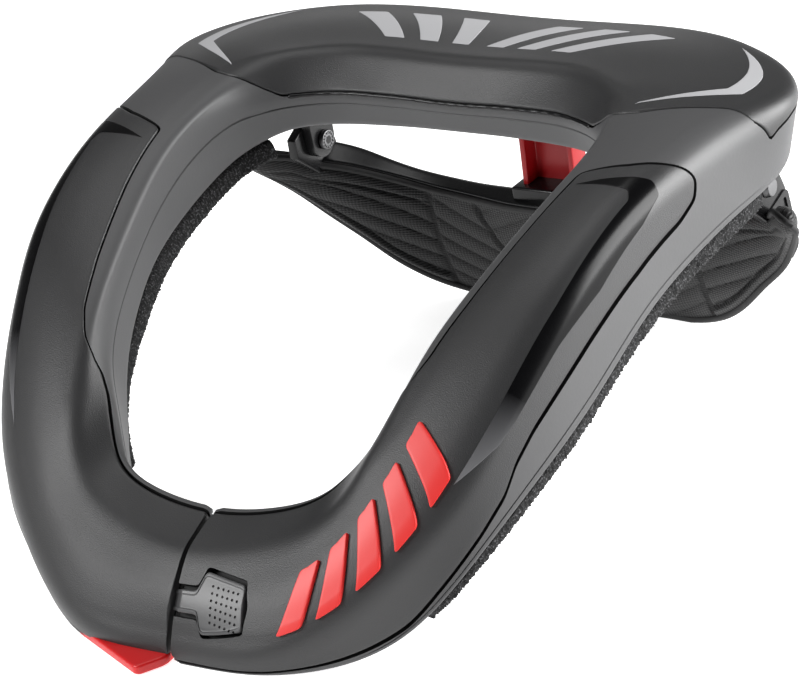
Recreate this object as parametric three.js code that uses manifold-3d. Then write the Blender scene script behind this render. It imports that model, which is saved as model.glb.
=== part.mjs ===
import * as THREE from 'three';
import { mergeVertices } from 'three/addons/utils/BufferGeometryUtils.js';
import Module from 'manifold-3d';

// Motocross neck brace: a closed ring collar split at the chest, with moulded pads let into it,
// felt strips below its arms and a padded yoke that hangs behind it on two side pivots.
// Millimetres, +Z up, +X to the wearer's left, +Y to the back.
// The origin lies on the floor below the middle of the part.

// Overall sizes of the collar
const collarWidth = 308;
const collarLength = 325;
const collarHeight = 150;

// Roundings of the collar's section, from the inner bottom edge round to the outer bottom edge
const innerBottomRound = 3;
const innerEdgeRound = 3;
const innerCrownRound = 8;
const outerCrownRound = 9;
const outerBottomRound = 3;
const topRise = 1.6;

// Fits between pieces
const splitGap = 1.8;
const padGap = 0.4;
const seatGap = 0.3;
const pinGap = 0.3;

// Moulded pads
const padThickness = 4;
const padSeam = 0.9;
const padEdgeThickness = 2;
const padProud = 0.3;

// Felt strips below the arms
const feltThickness = 7;
const feltGap = 0.8;

// Raised bars on the left arm of the wearer
const barCount = 5;
const barHeight = 1.6;

// Latch tongue across the split
const tongueThickness = 2.6;
const tongueProud = 0.6;
const tongueSeam = 0.9;
const neckDepth = 1.2;

// Pull tab at the chest
const tabThickness = 2.8;

// Yoke, its pad and its pivots
const yokeWall = 2.6;
const yokePadRise = 4;
const pivotRadius = 2.5;
const boltHeadRadius = 4.6;
const boltHeadThickness = 2.6;
const earRadius = 11;
const earThickness = 4.5;
const lugRadius = 8;
const lugThickness = 4.5;
const lugSocketDepth = 7;

// Red spacer that props the yoke off the collar
const spacerWidth = 27;
const spacerDepth = 11;
const spacerWall = 2.6;
const spacerSocketDepth = 5;
const spacerFootDepth = 5;
const footWall = 4;

// Facets
const ringSteps = 66;
const armPadSteps = 22;
const rearPadSteps = 22;
const boltSides = 14;
const cornerSteps = [2, 3, 4, 5, 3];
const wallShares = [[], [], [0.36, 0.64], [], [0.36, 0.64]];

// Lengths on the collar that one step along its ring and one wall of its section stand for,
// by which a pad's pocket is grown past the pad
const stationLength = 24;
const wallLength = 45;

// How far pockets and sockets are cut past the skin
const pocketHeight = 2.4;
const socketHeight = 6;

const halfWidth = collarWidth / 2;

// A place given as shares of the half width, the length and the height
function place([across, back, up]) {
  return new THREE.Vector3(across * halfWidth, back * collarLength, up * collarHeight);
}

// Corner lines of the collar's section at stations from the chest split (first) round one side
// to the middle of the back (last), each point as shares [across, back, up].
const rails = {
  innerBottom: [
    [0, 0.117, 0.22], [0.188, 0.12, 0.253], [0.292, 0.142, 0.28], [0.344, 0.172, 0.313],
    [0.39, 0.197, 0.32], [0.442, 0.231, 0.333], [0.5, 0.271, 0.387], [0.545, 0.317, 0.48],
    [0.578, 0.382, 0.58], [0.604, 0.44, 0.633], [0.623, 0.511, 0.673], [0.623, 0.585, 0.713],
    [0.61, 0.637, 0.74], [0.558, 0.674, 0.767], [0.487, 0.702, 0.787], [0.39, 0.72, 0.787],
    [0.312, 0.726, 0.787], [0.234, 0.729, 0.787], [0.143, 0.732, 0.787], [0.065, 0.732, 0.787],
    [0, 0.732, 0.787],
  ],
  innerEdge: [
    [0, 0.123, 0.307], [0.201, 0.126, 0.34], [0.305, 0.145, 0.367], [0.351, 0.166, 0.4],
    [0.39, 0.188, 0.44], [0.429, 0.209, 0.487], [0.481, 0.237, 0.573], [0.513, 0.283, 0.653],
    [0.552, 0.36, 0.733], [0.584, 0.428, 0.793], [0.61, 0.498, 0.847], [0.617, 0.569, 0.887],
    [0.591, 0.628, 0.907], [0.545, 0.662, 0.9], [0.481, 0.689, 0.893], [0.39, 0.708, 0.893],
    [0.312, 0.714, 0.893], [0.234, 0.717, 0.89], [0.143, 0.72, 0.887], [0.065, 0.72, 0.883],
    [0, 0.72, 0.883],
  ],
  innerCrown: [
    [0, 0.046, 0.253], [0.201, 0.062, 0.267], [0.338, 0.083, 0.32], [0.409, 0.108, 0.38],
    [0.455, 0.138, 0.467], [0.481, 0.172, 0.547], [0.506, 0.215, 0.633], [0.526, 0.274, 0.72],
    [0.558, 0.354, 0.8], [0.584, 0.422, 0.86], [0.61, 0.492, 0.913], [0.623, 0.566, 0.947],
    [0.617, 0.631, 0.973], [0.597, 0.674, 0.987], [0.545, 0.711, 1], [0.468, 0.735, 1],
    [0.377, 0.754, 1], [0.273, 0.757, 1], [0.169, 0.754, 1], [0.078, 0.751, 1],
    [0, 0.751, 1],
  ],
  outerCrown: [
    [0, -0.012, 0.06], [0.195, -0.015, 0.06], [0.344, -0.003, 0.087], [0.481, 0.031, 0.16],
    [0.61, 0.08, 0.28], [0.708, 0.135, 0.413], [0.779, 0.203, 0.567], [0.825, 0.283, 0.727],
    [0.857, 0.348, 0.827], [0.877, 0.428, 0.9], [0.896, 0.508, 0.94], [0.916, 0.585, 0.953],
    [0.935, 0.658, 0.96], [0.974, 0.726, 0.953], [1, 0.791, 0.933], [0.929, 0.858, 0.933],
    [0.792, 0.905, 0.94], [0.617, 0.948, 0.937], [0.403, 0.972, 0.923], [0.195, 0.983, 0.907],
    [0, 0.986, 0.9],
  ],
  outerBottom: [
    [0, -0.012, -0.007], [0.195, -0.012, -0.007], [0.338, 0.009, -0.007], [0.474, 0.052, 0],
    [0.597, 0.092, 0.06], [0.708, 0.123, 0.18], [0.779, 0.178, 0.287], [0.844, 0.277, 0.407],
    [0.87, 0.36, 0.487], [0.89, 0.449, 0.587], [0.903, 0.523, 0.64], [0.922, 0.6, 0.68],
    [0.942, 0.668, 0.707], [0.948, 0.732, 0.713], [0.942, 0.788, 0.727], [0.89, 0.846, 0.747],
    [0.773, 0.892, 0.767], [0.61, 0.932, 0.773], [0.39, 0.954, 0.767], [0.195, 0.966, 0.757],
    [0, 0.969, 0.753],
  ],
};
const railNames = ['innerBottom', 'innerEdge', 'innerCrown', 'outerCrown', 'outerBottom'];
const cornerRounds = [
  innerBottomRound, innerEdgeRound, innerCrownRound, outerCrownRound, outerBottomRound,
];
const backStation = rails.innerCrown.length - 1;
const fullTurn = backStation * 2;
const cornerCount = railNames.length;

// The station of a rail, mirrored past the chest and past the middle of the back
function railStation(corner, index) {
  let turned = ((index % fullTurn) + fullTurn) % fullTurn;
  const mirrored = turned > backStation;
  if (mirrored) turned = fullTurn - turned;
  const point = place(rails[railNames[corner]][turned]);
  if (mirrored) point.x *= -1;
  return point;
}

// A point on a rail between stations
function railPoint(corner, station) {
  const index = Math.floor(station);
  const f = station - index;
  const a = railStation(corner, index - 1);
  const b = railStation(corner, index);
  const c = railStation(corner, index + 1);
  const d = railStation(corner, index + 2);
  const along = (p, q, r, s) => 0.5 * (2 * q + (r - p) * f
    + (2 * p - 5 * q + 4 * r - s) * f * f + (3 * q - p - 3 * r + s) * f * f * f);
  return new THREE.Vector3(...['x', 'y', 'z'].map((axis) => along(a[axis], b[axis], c[axis], d[axis])));
}

// The collar's corners at one station, with how far each rounding reaches into its two walls
function sectionAt(station) {
  const corners = railNames.map((name, corner) => railPoint(corner, station));
  const reach = corners.map((point, corner) => {
    const before = corners[(corner + cornerCount - 1) % cornerCount];
    const after = corners[(corner + 1) % cornerCount];
    return {
      before: Math.min(cornerRounds[corner] / point.distanceTo(before), 0.45),
      after: Math.min(cornerRounds[corner] / point.distanceTo(after), 0.45),
    };
  });
  return { corners, reach };
}

// A point of the collar's skin. The whole numbers of round are the section's corners in rail order,
// and the shares between them run along its walls.
function skinPoint(station, round) {
  const { corners, reach } = sectionAt(station);
  const turned = ((round % cornerCount) + cornerCount) % cornerCount;
  const nearest = Math.round(turned);
  const share = turned - nearest;
  const corner = nearest % cornerCount;
  const point = corners[corner];
  const before = corners[(corner + cornerCount - 1) % cornerCount];
  const after = corners[(corner + 1) % cornerCount];
  const { before: wallBefore, after: wallAfter } = reach[corner];
  let result;
  if (share >= -wallBefore && share <= wallAfter) {
    const v = (share + wallBefore) / (wallBefore + wallAfter);
    const start = point.clone().lerp(before, wallBefore);
    const end = point.clone().lerp(after, wallAfter);
    result = start.multiplyScalar((1 - v) * (1 - v));
    result.addScaledVector(point, 2 * v * (1 - v)).addScaledVector(end, v * v);
  } else {
    result = share > 0 ? point.clone().lerp(after, share) : point.clone().lerp(before, -share);
  }
  if (turned > 2 && turned < 3) {
    const ahead = railPoint(2, station + 0.05).add(railPoint(3, station + 0.05));
    const behind = railPoint(2, station - 0.05).add(railPoint(3, station - 0.05));
    const outward = ahead.sub(behind).cross(corners[3].clone().sub(corners[2])).normalize();
    result.addScaledVector(outward, -topRise * Math.sin(Math.PI * (turned - 2)) ** 2);
  }
  return result;
}

// The skin's outward direction
function skinNormal(station, round) {
  const step = 0.04;
  const alongRing = skinPoint(station + step, round).sub(skinPoint(station - step, round));
  const aroundSection = skinPoint(station, round + step).sub(skinPoint(station, round - step));
  return aroundSection.cross(alongRing).normalize();
}

function offsetPoint(station, round, offset) {
  return skinPoint(station, round).addScaledVector(skinNormal(station, round), offset);
}

// A closed solid from its corners and faces, turned so that its faces point out
function solidGeometry(points, faces) {
  let volume = 0;
  for (const [a, b, c] of faces) {
    volume += points[a].dot(points[b].clone().cross(points[c]));
  }
  const index = faces.flatMap(([a, b, c]) => (volume > 0 ? [a, b, c] : [a, c, b]));
  const geometry = new THREE.BufferGeometry();
  const positions = points.flatMap((point) => [point.x, point.y, point.z]);
  geometry.setAttribute('position', new THREE.Float32BufferAttribute(positions, 3));
  geometry.setIndex(index);
  return geometry;
}

// A closed solid between two sheets of points with the same rows and columns
function sheetSolid(upper, lower) {
  const rows = upper.length;
  const columns = upper[0].length;
  const points = [...upper.flat(), ...lower.flat()];
  const top = (row, column) => row * columns + column;
  const bottom = (row, column) => rows * columns + row * columns + column;
  const faces = [];
  const quad = (a, b, c, d) => faces.push([a, b, c], [a, c, d]);
  for (let row = 0; row < rows - 1; row++) {
    for (let column = 0; column < columns - 1; column++) {
      quad(top(row, column), top(row, column + 1), top(row + 1, column + 1), top(row + 1, column));
      quad(bottom(row, column), bottom(row + 1, column),
        bottom(row + 1, column + 1), bottom(row, column + 1));
    }
  }
  for (let row = 0; row < rows - 1; row++) {
    quad(top(row, 0), top(row + 1, 0), bottom(row + 1, 0), bottom(row, 0));
    quad(top(row + 1, columns - 1), top(row, columns - 1),
      bottom(row, columns - 1), bottom(row + 1, columns - 1));
  }
  for (let column = 0; column < columns - 1; column++) {
    quad(top(0, column + 1), top(0, column), bottom(0, column), bottom(0, column + 1));
    quad(top(rows - 1, column), top(rows - 1, column + 1),
      bottom(rows - 1, column + 1), bottom(rows - 1, column));
  }
  return solidGeometry(points, faces);
}

// A closed solid swept through rings of points, closed at both ends
function ringSolid(rings) {
  const count = rings[0].length;
  const points = rings.flat();
  const faces = [];
  for (let ring = 0; ring < rings.length - 1; ring++) {
    for (let i = 0; i < count; i++) {
      const next = (i + 1) % count;
      const [a, b] = [ring * count + i, ring * count + next];
      faces.push([a, b, b + count], [a, b + count, a + count]);
    }
  }
  const capTriangles = THREE.ShapeUtils.triangulateShape(flatten(rings[0]), []);
  const endTriangles = THREE.ShapeUtils.triangulateShape(flatten(rings[rings.length - 1]), []);
  const last = (rings.length - 1) * count;
  for (const [a, b, c] of capTriangles) faces.push([a, c, b]);
  for (const [a, b, c] of endTriangles) faces.push([last + a, last + b, last + c]);
  return solidGeometry(points, orientCaps(points, faces, capTriangles.length, endTriangles.length));
}

// A ring of points drawn in the plane it lies in
function flatten(ring) {
  const centre = ring.reduce((sum, point) => sum.add(point), new THREE.Vector3());
  centre.divideScalar(ring.length);
  const normal = new THREE.Vector3();
  ring.forEach((point, i) => {
    const next = ring[(i + 1) % ring.length];
    normal.add(point.clone().sub(centre).cross(next.clone().sub(centre)));
  });
  normal.normalize();
  const across = ring[0].clone().sub(centre).projectOnPlane(normal).normalize();
  const up = normal.clone().cross(across);
  return ring.map((point) => {
    const arm = point.clone().sub(centre);
    return new THREE.Vector2(arm.dot(across), arm.dot(up));
  });
}

// Caps turned so that each shared edge runs both ways
function orientCaps(points, faces, firstCount, lastCount) {
  const sideFaces = faces.slice(0, faces.length - firstCount - lastCount);
  const edgesOf = ([a, b, c]) => [`${a},${b}`, `${b},${c}`, `${c},${a}`];
  const directed = new Set(sideFaces.flatMap(edgesOf));
  const turn = (cap) => {
    const clash = cap.some((face) => edgesOf(face).some((edge) => directed.has(edge)));
    return clash ? cap.map(([a, b, c]) => [a, c, b]) : cap;
  };
  const firstCap = faces.slice(sideFaces.length, sideFaces.length + firstCount);
  const lastCap = faces.slice(sideFaces.length + firstCount);
  return [...sideFaces, ...turn(firstCap), ...turn(lastCap)];
}

// Cutting and joining
const wasm = await Module();
wasm.setup();

function toManifold(geometry) {
  const bare = geometry.clone();
  bare.deleteAttribute('normal');
  bare.deleteAttribute('uv');
  const merged = mergeVertices(bare, 1e-4);
  return new wasm.Manifold(new wasm.Mesh({
    numProp: 3,
    vertProperties: Float32Array.from(merged.attributes.position.array),
    triVerts: Uint32Array.from(merged.index.array),
  }));
}

function fromManifold(solid) {
  const { numProp, vertProperties, triVerts } = solid.getMesh();
  const positions = new Float32Array((vertProperties.length / numProp) * 3);
  for (let i = 0; i < positions.length / 3; i++) {
    for (let axis = 0; axis < 3; axis++) positions[i * 3 + axis] = vertProperties[i * numProp + axis];
  }
  const geometry = new THREE.BufferGeometry();
  geometry.setAttribute('position', new THREE.Float32BufferAttribute(positions, 3));
  geometry.setIndex(Array.from(triVerts));
  return geometry;
}

function subtract(geometry, ...cutters) {
  const start = toManifold(geometry);
  return fromManifold(cutters.reduce((solid, cutter) => solid.subtract(toManifold(cutter)), start));
}

function join(geometry, ...others) {
  const start = toManifold(geometry);
  return fromManifold(others.reduce((solid, other) => solid.add(toManifold(other)), start));
}

// Reads a table of [where, value] pairs
function tableValue(table, where) {
  if (where <= table[0][0]) return table[0][1];
  for (let i = 1; i < table.length; i++) {
    if (where <= table[i][0]) {
      const share = (where - table[i - 1][0]) / (table[i][0] - table[i - 1][0]);
      return table[i - 1][1] + share * (table[i][1] - table[i - 1][1]);
    }
  }
  return table[table.length - 1][1];
}

function spread(from, to, count) {
  return Array.from({ length: count + 1 }, (unused, i) => from + ((to - from) * i) / count);
}

const group = new THREE.Group();

const finishes = {
  base: new THREE.MeshStandardMaterial({ color: 0x4a4a4c, roughness: 0.55, metalness: 0 }),
  pad: new THREE.MeshStandardMaterial({ color: 0x3a3a3c, roughness: 0.7, metalness: 0 }),
  felt: new THREE.MeshStandardMaterial({ color: 0x2a2a2b, roughness: 1, metalness: 0 }),
  rubber: new THREE.MeshStandardMaterial({ color: 0x333335, roughness: 0.5, metalness: 0 }),
  red: new THREE.MeshStandardMaterial({ color: 0xe0383a, roughness: 0.45, metalness: 0 }),
  spacer: new THREE.MeshStandardMaterial({ color: 0xb01418, roughness: 0.3, metalness: 0 }),
  yoke: new THREE.MeshStandardMaterial({ color: 0x111113, roughness: 0.2, metalness: 0 }),
  mesh: new THREE.MeshStandardMaterial({ color: 0x232324, roughness: 0.9, metalness: 0 }),
  bolt: new THREE.MeshStandardMaterial({ color: 0x8f8f92, roughness: 0.35, metalness: 0.6 }),
};

function addPiece(name, geometry, finish) {
  const piece = new THREE.Mesh(geometry, finish);
  piece.name = name;
  group.add(piece);
  return piece;
}

// Collar, swept round the ring from one side of the split to the other
function sectionRing(station) {
  const { reach } = sectionAt(station);
  const ring = [];
  for (let corner = 0; corner < cornerCount; corner++) {
    for (let i = 0; i < cornerSteps[corner]; i++) {
      const v = i / (cornerSteps[corner] - 1);
      const round = corner - reach[corner].before + v * (reach[corner].before + reach[corner].after);
      ring.push(skinPoint(station, round));
    }
    for (const share of wallShares[corner]) ring.push(skinPoint(station, corner + share));
  }
  return ring;
}

// The station where the skin lies a given distance to one side of the split
const firstStationWidth = rails.innerCrown[1][0] * halfWidth;
const splitStation = splitGap / 2 / firstStationWidth;
const ringStations = spread(splitStation, fullTurn - splitStation, ringSteps);
const collarBody = ringSolid(ringStations.map(sectionRing));

// Outlines of the pads on the skin. Each outline gives where its inner and its outer edge lie round
// the section at a station, and the station where it ends for each share of the way across it.
const armPad = {
  inner: [
    [0, 1.06], [3.5, 1.06], [5.1, 1.08], [5.7, 1.5], [6.1, 1.86], [6.6, 2], [7.5, 2.09], [12, 2.15],
  ],
  outer: [
    [0, 3.7], [2, 3.74], [4, 3.84], [4.6, 3.8], [5.6, 3.78], [6.1, 3.73], [6.5, 3.57], [12, 3.53],
  ],
  end: [
    [0, 10.3], [0.05, 10.45], [0.32, 10.55], [0.62, 10.8],
    [0.78, 11.05], [0.88, 11.1], [0.96, 10.98], [1, 10.75],
  ],
};
const rearPad = {
  inner: [[12, 1.05], [20, 1.05]],
  outer: [[12, 3.4], [13.2, 3.38], [13.5, 3.3], [14, 3.24], [20, 3.24]],
  end: [
    [0, 13.75], [0.16, 13.1], [0.36, 12.6], [0.5, 12.65],
    [0.68, 12.85], [0.78, 13], [0.86, 12.98], [1, 13.2],
  ],
};

// Maps shares along and across a pad to the skin. A grown outline moves only its rim, so that a
// pocket follows the facets of the pad in it.
function rimShift(share, grow) {
  if (share === 0) return -grow;
  return share === 1 ? grow : 0;
}

function padMap(outline, start, end, grow) {
  return (u, v) => {
    const from = start(v);
    const station = from + u * (end(v) - from);
    const folded = station > backStation ? fullTurn - station : station;
    const inner = tableValue(outline.inner, folded);
    const outer = tableValue(outline.outer, folded);
    const round = inner + v * (outer - inner) + rimShift(v, grow) / wallLength;
    return [station + rimShift(u, grow) / stationLength, round];
  };
}

function armPadMap(side, grow) {
  const map = padMap(armPad, () => splitStation, (v) => tableValue(armPad.end, v), grow);
  return (u, v) => {
    let [station, round] = map(u, v);
    if (grow > 0 && u === 0) station = -splitStation;
    return [side > 0 ? station : fullTurn - station, round];
  };
}

function rearPadMap(grow) {
  const end = (v) => tableValue(rearPad.end, v);
  return padMap(rearPad, end, (v) => fullTurn - end(v), grow);
}

// A slab that follows the skin between two offsets, each a function of the share across it
function skinSlab(map, alongSteps, acrossShares, upperOffset, lowerOffset) {
  const rows = spread(0, 1, alongSteps);
  const sheet = (offsetAt) => rows.map((u) => acrossShares.map((v) => {
    const [station, round] = map(u, v);
    return offsetPoint(station, round, offsetAt(v));
  }));
  return sheetSolid(sheet(upperOffset), sheet(lowerOffset));
}

// Shares across a pad, closer together where the section turns
const armShares = [0, 0.09, 0.2, 0.31, 0.42, 0.53, 0.62, 0.71, 0.8, 0.9, 1];
const rearShares = [0, 0.1, 0.25, 0.36, 0.44, 0.54, 0.68, 0.8, 0.88, 0.94, 1];

function padDepth(share, extra) {
  const edge = Math.min(share, 1 - share);
  const fill = THREE.MathUtils.smoothstep(edge, 0, 0.14);
  return -(padEdgeThickness + (padThickness - padEdgeThickness) * fill) - extra;
}

// A pad and the pocket that it lies in
function padSlab(map, alongSteps, shares, upperOffset, extraDepth) {
  return skinSlab(map, alongSteps, shares, () => upperOffset, (v) => padDepth(v, extraDepth));
}

const armPadLeft = padSlab(armPadMap(1, 0), armPadSteps, armShares, padProud, 0);
const armPadRight = padSlab(armPadMap(-1, 0), armPadSteps, armShares, padProud, 0);
const rearPadBody = padSlab(rearPadMap(0), rearPadSteps, rearShares, padProud, 0);
const padPockets = [
  padSlab(armPadMap(1, padSeam), armPadSteps, armShares, pocketHeight, padGap),
  padSlab(armPadMap(-1, padSeam), armPadSteps, armShares, pocketHeight, padGap),
  padSlab(rearPadMap(padSeam), rearPadSteps, rearShares, pocketHeight, padGap),
];

// Latch tongue: a spade in the pad on the wearer's left, its neck across the split and its root
// under the other pad. Corners are [station, round].
const tongueOutline = {
  spade: [[0.42, 2.17], [1.08, 2.33], [1.17, 2.78], [0.5, 2.89]],
  neck: [[-0.01, 2.39], [0.5, 2.39], [0.5, 2.64], [-0.01, 2.64]],
  root: [[-0.28, 2.39], [0.02, 2.39], [0.02, 2.64], [-0.28, 2.64]],
};

function fourCornerMap(corners, grow) {
  const alongLength = firstStationWidth;
  const acrossLength = railPoint(2, 0.5).distanceTo(railPoint(3, 0.5));
  const centre = [0, 1].map((axis) => corners.reduce((sum, corner) => sum + corner[axis], 0) / 4);
  const grown = corners.map((corner) => [
    corner[0] + (Math.sign(corner[0] - centre[0]) * grow) / alongLength,
    corner[1] + (Math.sign(corner[1] - centre[1]) * grow) / acrossLength,
  ]);
  return (u, v) => [0, 1].map((axis) =>
    (1 - u) * (1 - v) * grown[0][axis] + u * (1 - v) * grown[1][axis]
    + u * v * grown[2][axis] + (1 - u) * v * grown[3][axis]);
}

function cornerSlab(corners, grow, upperOffset, lowerOffset, steps = 3) {
  const map = fourCornerMap(corners, grow);
  return skinSlab(map, steps, spread(0, 1, steps), () => upperOffset, () => lowerOffset);
}

const tongueTop = padProud + tongueProud;
const tongueFloor = tongueTop - tongueThickness;
const neckTop = tongueTop - 0.4;
const rootTop = -neckDepth;
const tongue = join(
  cornerSlab(tongueOutline.spade, 0, tongueTop, tongueFloor),
  cornerSlab(tongueOutline.neck, 0, neckTop, tongueFloor),
  cornerSlab(tongueOutline.root, 0, rootTop, tongueFloor),
);
const tonguePocket = [
  cornerSlab(tongueOutline.spade, tongueSeam, pocketHeight, tongueFloor - seatGap),
  cornerSlab(tongueOutline.neck, tongueSeam, pocketHeight, tongueFloor - seatGap),
];
const rootPocket = cornerSlab(tongueOutline.root, seatGap, rootTop + seatGap, tongueFloor - seatGap);

// Pull tab below the chest, its outline as shares [across, back]
const tabOutline = [[-0.31, 0.005], [-0.085, -0.032], [-0.052, 0.002], [-0.052, 0.03], [-0.26, 0.058]];

function tabPrism(grow, bottom, top) {
  const points = tabOutline.map(([x, y]) => new THREE.Vector2(x * halfWidth, y * collarLength));
  const centre = points.reduce((sum, point) => sum.add(point), new THREE.Vector2());
  centre.divideScalar(points.length);
  const corners = points.map((point) => {
    const arm = point.clone().sub(centre);
    return point.clone().addScaledVector(arm.normalize(), grow);
  });
  const outline = new THREE.Shape(corners);
  const geometry = new THREE.ExtrudeGeometry(outline, { depth: top - bottom, bevelEnabled: false });
  return geometry.translate(0, 0, bottom);
}

const pullTab = tabPrism(0, 0, tabThickness);
const tabPocket = tabPrism(2 * seatGap, -socketHeight, tabThickness + seatGap);

// Side pivots of the yoke
const pivot = { back: 0.874 * collarLength, up: 0.567 * collarHeight };
const earInner = 0.731 * halfWidth;
const earOuter = earInner + earThickness;
const lugOuter = earInner - seatGap;
const lugInner = lugOuter - lugThickness;
const lugTop = 0.762 * collarHeight + lugSocketDepth;
const lugTopFront = pivot.back - 1.25 * lugRadius;
const lugTopBack = pivot.back + 0.9 * lugRadius;

// A flat outline drawn in the side view (back, up) and made thick along X
function sidePrism(shape, from, to) {
  const settings = { depth: to - from, bevelEnabled: false, curveSegments: 10 };
  const geometry = new THREE.ExtrudeGeometry(shape, settings);
  geometry.applyMatrix4(new THREE.Matrix4().makeBasis(
    new THREE.Vector3(0, 1, 0), new THREE.Vector3(0, 0, 1), new THREE.Vector3(1, 0, 0)));
  return geometry.translate(from, 0, 0);
}

function pinHole(radius) {
  const hole = new THREE.Path();
  hole.absarc(pivot.back, pivot.up, radius, 0, Math.PI * 2, true);
  return hole;
}

function lugShape(grow, withHole) {
  const shape = new THREE.Shape();
  shape.moveTo(lugTopFront - grow, lugTop + grow);
  shape.lineTo(pivot.back - lugRadius - grow, pivot.up);
  shape.absarc(pivot.back, pivot.up, lugRadius + grow, Math.PI, Math.PI * 2, false);
  shape.lineTo(lugTopBack + grow, lugTop + grow);
  if (withHole) shape.holes.push(pinHole(pivotRadius + pinGap));
  return shape;
}

// The yoke's section at stations outward from the middle: how far across each lies, then its front
// and rear top edges and its rear and front bottom edges, each [back, up], all as shares.
const yokeEdges = ['frontTop', 'rearTop', 'rearBottom', 'frontBottom'];
const yokeStations = [
  [0, [0.886, 0.407], [0.923, 0.427], [0.994, 0.034], [0.966, 0]],
  [0.13, [0.895, 0.4], [0.929, 0.425], [0.997, 0.034], [0.969, 0]],
  [0.26, [0.908, 0.4], [0.935, 0.42], [0.997, 0.036], [0.969, 0.001]],
  [0.39, [0.917, 0.403], [0.943, 0.423], [0.991, 0.056], [0.963, 0.018]],
  [0.487, [0.919, 0.417], [0.945, 0.433], [0.975, 0.09], [0.945, 0.06]],
  [0.584, [0.909, 0.445], [0.942, 0.46], [0.957, 0.167], [0.923, 0.135]],
  [0.669, [0.892, 0.477], [0.935, 0.498], [0.945, 0.26], [0.908, 0.225]],
  [0.765, [0.871, 0.5], [0.917, 0.53], [0.931, 0.347], [0.893, 0.307]],
].map(([across, ...edges]) => ({
  across,
  ...Object.fromEntries(edges.map((edge, i) => [yokeEdges[i], edge])),
}));
// The pad goes on past the frame's ends
const yokeTips = [
  { across: 0.8, frontTop: [0.856, 0.52], frontBottom: [0.88, 0.36] },
  { across: 0.845, frontTop: [0.823, 0.547], frontBottom: [0.86, 0.435] },
  { across: 0.885, frontTop: [0.807, 0.543], frontBottom: [0.83, 0.49] },
];
const yokeTipDepth = 9;

function yokePoint(across, [back, up]) {
  return new THREE.Vector3(across * halfWidth, back * collarLength, up * collarHeight);
}

// Corners of the frame's channel at one station: outside from its front top to its front bottom,
// then back inside
function channelCorners(station, wall) {
  const [frontTop, rearTop, rearBottom, frontBottom] = yokeEdges
    .map((edge) => yokePoint(station.across, station[edge]));
  const lipEnd = rearBottom.clone().lerp(frontBottom, 0.6);
  const down = rearBottom.clone().sub(rearTop).normalize();
  const topForward = frontTop.clone().sub(rearTop).normalize();
  const bottomForward = frontBottom.clone().sub(rearBottom).normalize();
  const outside = [frontTop, rearTop, rearBottom, lipEnd];
  const inside = [
    lipEnd.clone().addScaledVector(down, -wall),
    rearBottom.clone().addScaledVector(down, -wall).addScaledVector(bottomForward, wall),
    rearTop.clone().addScaledVector(down, wall).addScaledVector(topForward, wall),
    frontTop.clone().addScaledVector(down, wall),
  ];
  return { outside, inside };
}

// Stations with points in between, on both sides of the middle
function filledStations(stations) {
  const at = (index) => {
    const folded = stations[Math.min(Math.abs(index), stations.length - 1)];
    return index < 0 ? { ...folded, across: -folded.across } : folded;
  };
  const between = (index, pick) => {
    const values = [index - 1, index, index + 1, index + 2].map((i) => pick(at(i)));
    return (9 * (values[1] + values[2]) - values[0] - values[3]) / 16;
  };
  const half = [];
  for (let index = 0; index < stations.length; index++) {
    half.push(stations[index]);
    if (index === stations.length - 1) break;
    const filled = { across: between(index, (station) => station.across) };
    for (const edge of yokeEdges) {
      filled[edge] = [0, 1].map((axis) => between(index, (station) => station[edge][axis]));
    }
    half.push(filled);
  }
  return half;
}

function mirroredStations(stations) {
  const others = stations.slice(1).reverse().map((station) => ({ ...station, across: -station.across }));
  return [...others, ...stations];
}

const filledYoke = filledStations(yokeStations);
const yokeChannel = ringSolid(mirroredStations(filledYoke).map((station) => {
  const { outside, inside } = channelCorners(station, yokeWall);
  return [...outside, ...inside];
}));

// Ears that carry the yoke on its pivots
const frameEnd = yokeStations[yokeStations.length - 1];
function earShape() {
  const [frontTop, rearTop, rearBottom] = yokeEdges
    .map((edge) => yokePoint(frameEnd.across, frameEnd[edge]));
  const shape = new THREE.Shape();
  shape.moveTo(rearBottom.y - 0.2 * yokeWall, rearBottom.z + yokeWall);
  shape.lineTo(rearBottom.y, rearBottom.z);
  shape.lineTo(rearTop.y + 0.4 * yokeWall, rearTop.z);
  shape.absarc(pivot.back, pivot.up, earRadius, 0, Math.PI, false);
  shape.lineTo(frontTop.y, frontTop.z - yokeWall);
  shape.lineTo(rearTop.y - 0.2 * yokeWall, rearTop.z - yokeWall);
  shape.holes.push(pinHole(pivotRadius + pinGap));
  return shape;
}

// Foot of the red spacer on the middle of the yoke
const spacerFront = 0.912 * collarLength;
const spacerBack = spacerFront + spacerDepth;
const spacerLean = 0.012 * collarLength;
const footTop = 0.448 * collarHeight;
const footBottom = 0.41 * collarHeight;
const spacerBottom = footTop - spacerFootDepth + seatGap;
const spacerTop = 0.76 * collarHeight + spacerSocketDepth;

function box(from, to) {
  const size = to.clone().sub(from);
  const centre = from.clone().add(to).multiplyScalar(0.5);
  return new THREE.BoxGeometry(size.x, size.y, size.z).translate(centre.x, centre.y, centre.z);
}

// Leans what stands on the yoke's foot back as it rises
function lean(geometry) {
  const rise = spacerLean / (spacerTop - spacerBottom);
  const { position } = geometry.attributes;
  for (let i = 0; i < position.count; i++) {
    position.setY(i, position.getY(i) + (position.getZ(i) - spacerBottom) * rise);
  }
  return geometry;
}

function spacerBlock(grow, bottom, top) {
  return lean(box(
    new THREE.Vector3(-spacerWidth / 2 - grow, spacerFront - grow, bottom),
    new THREE.Vector3(spacerWidth / 2 + grow, spacerBack + grow, top),
  ));
}

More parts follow.
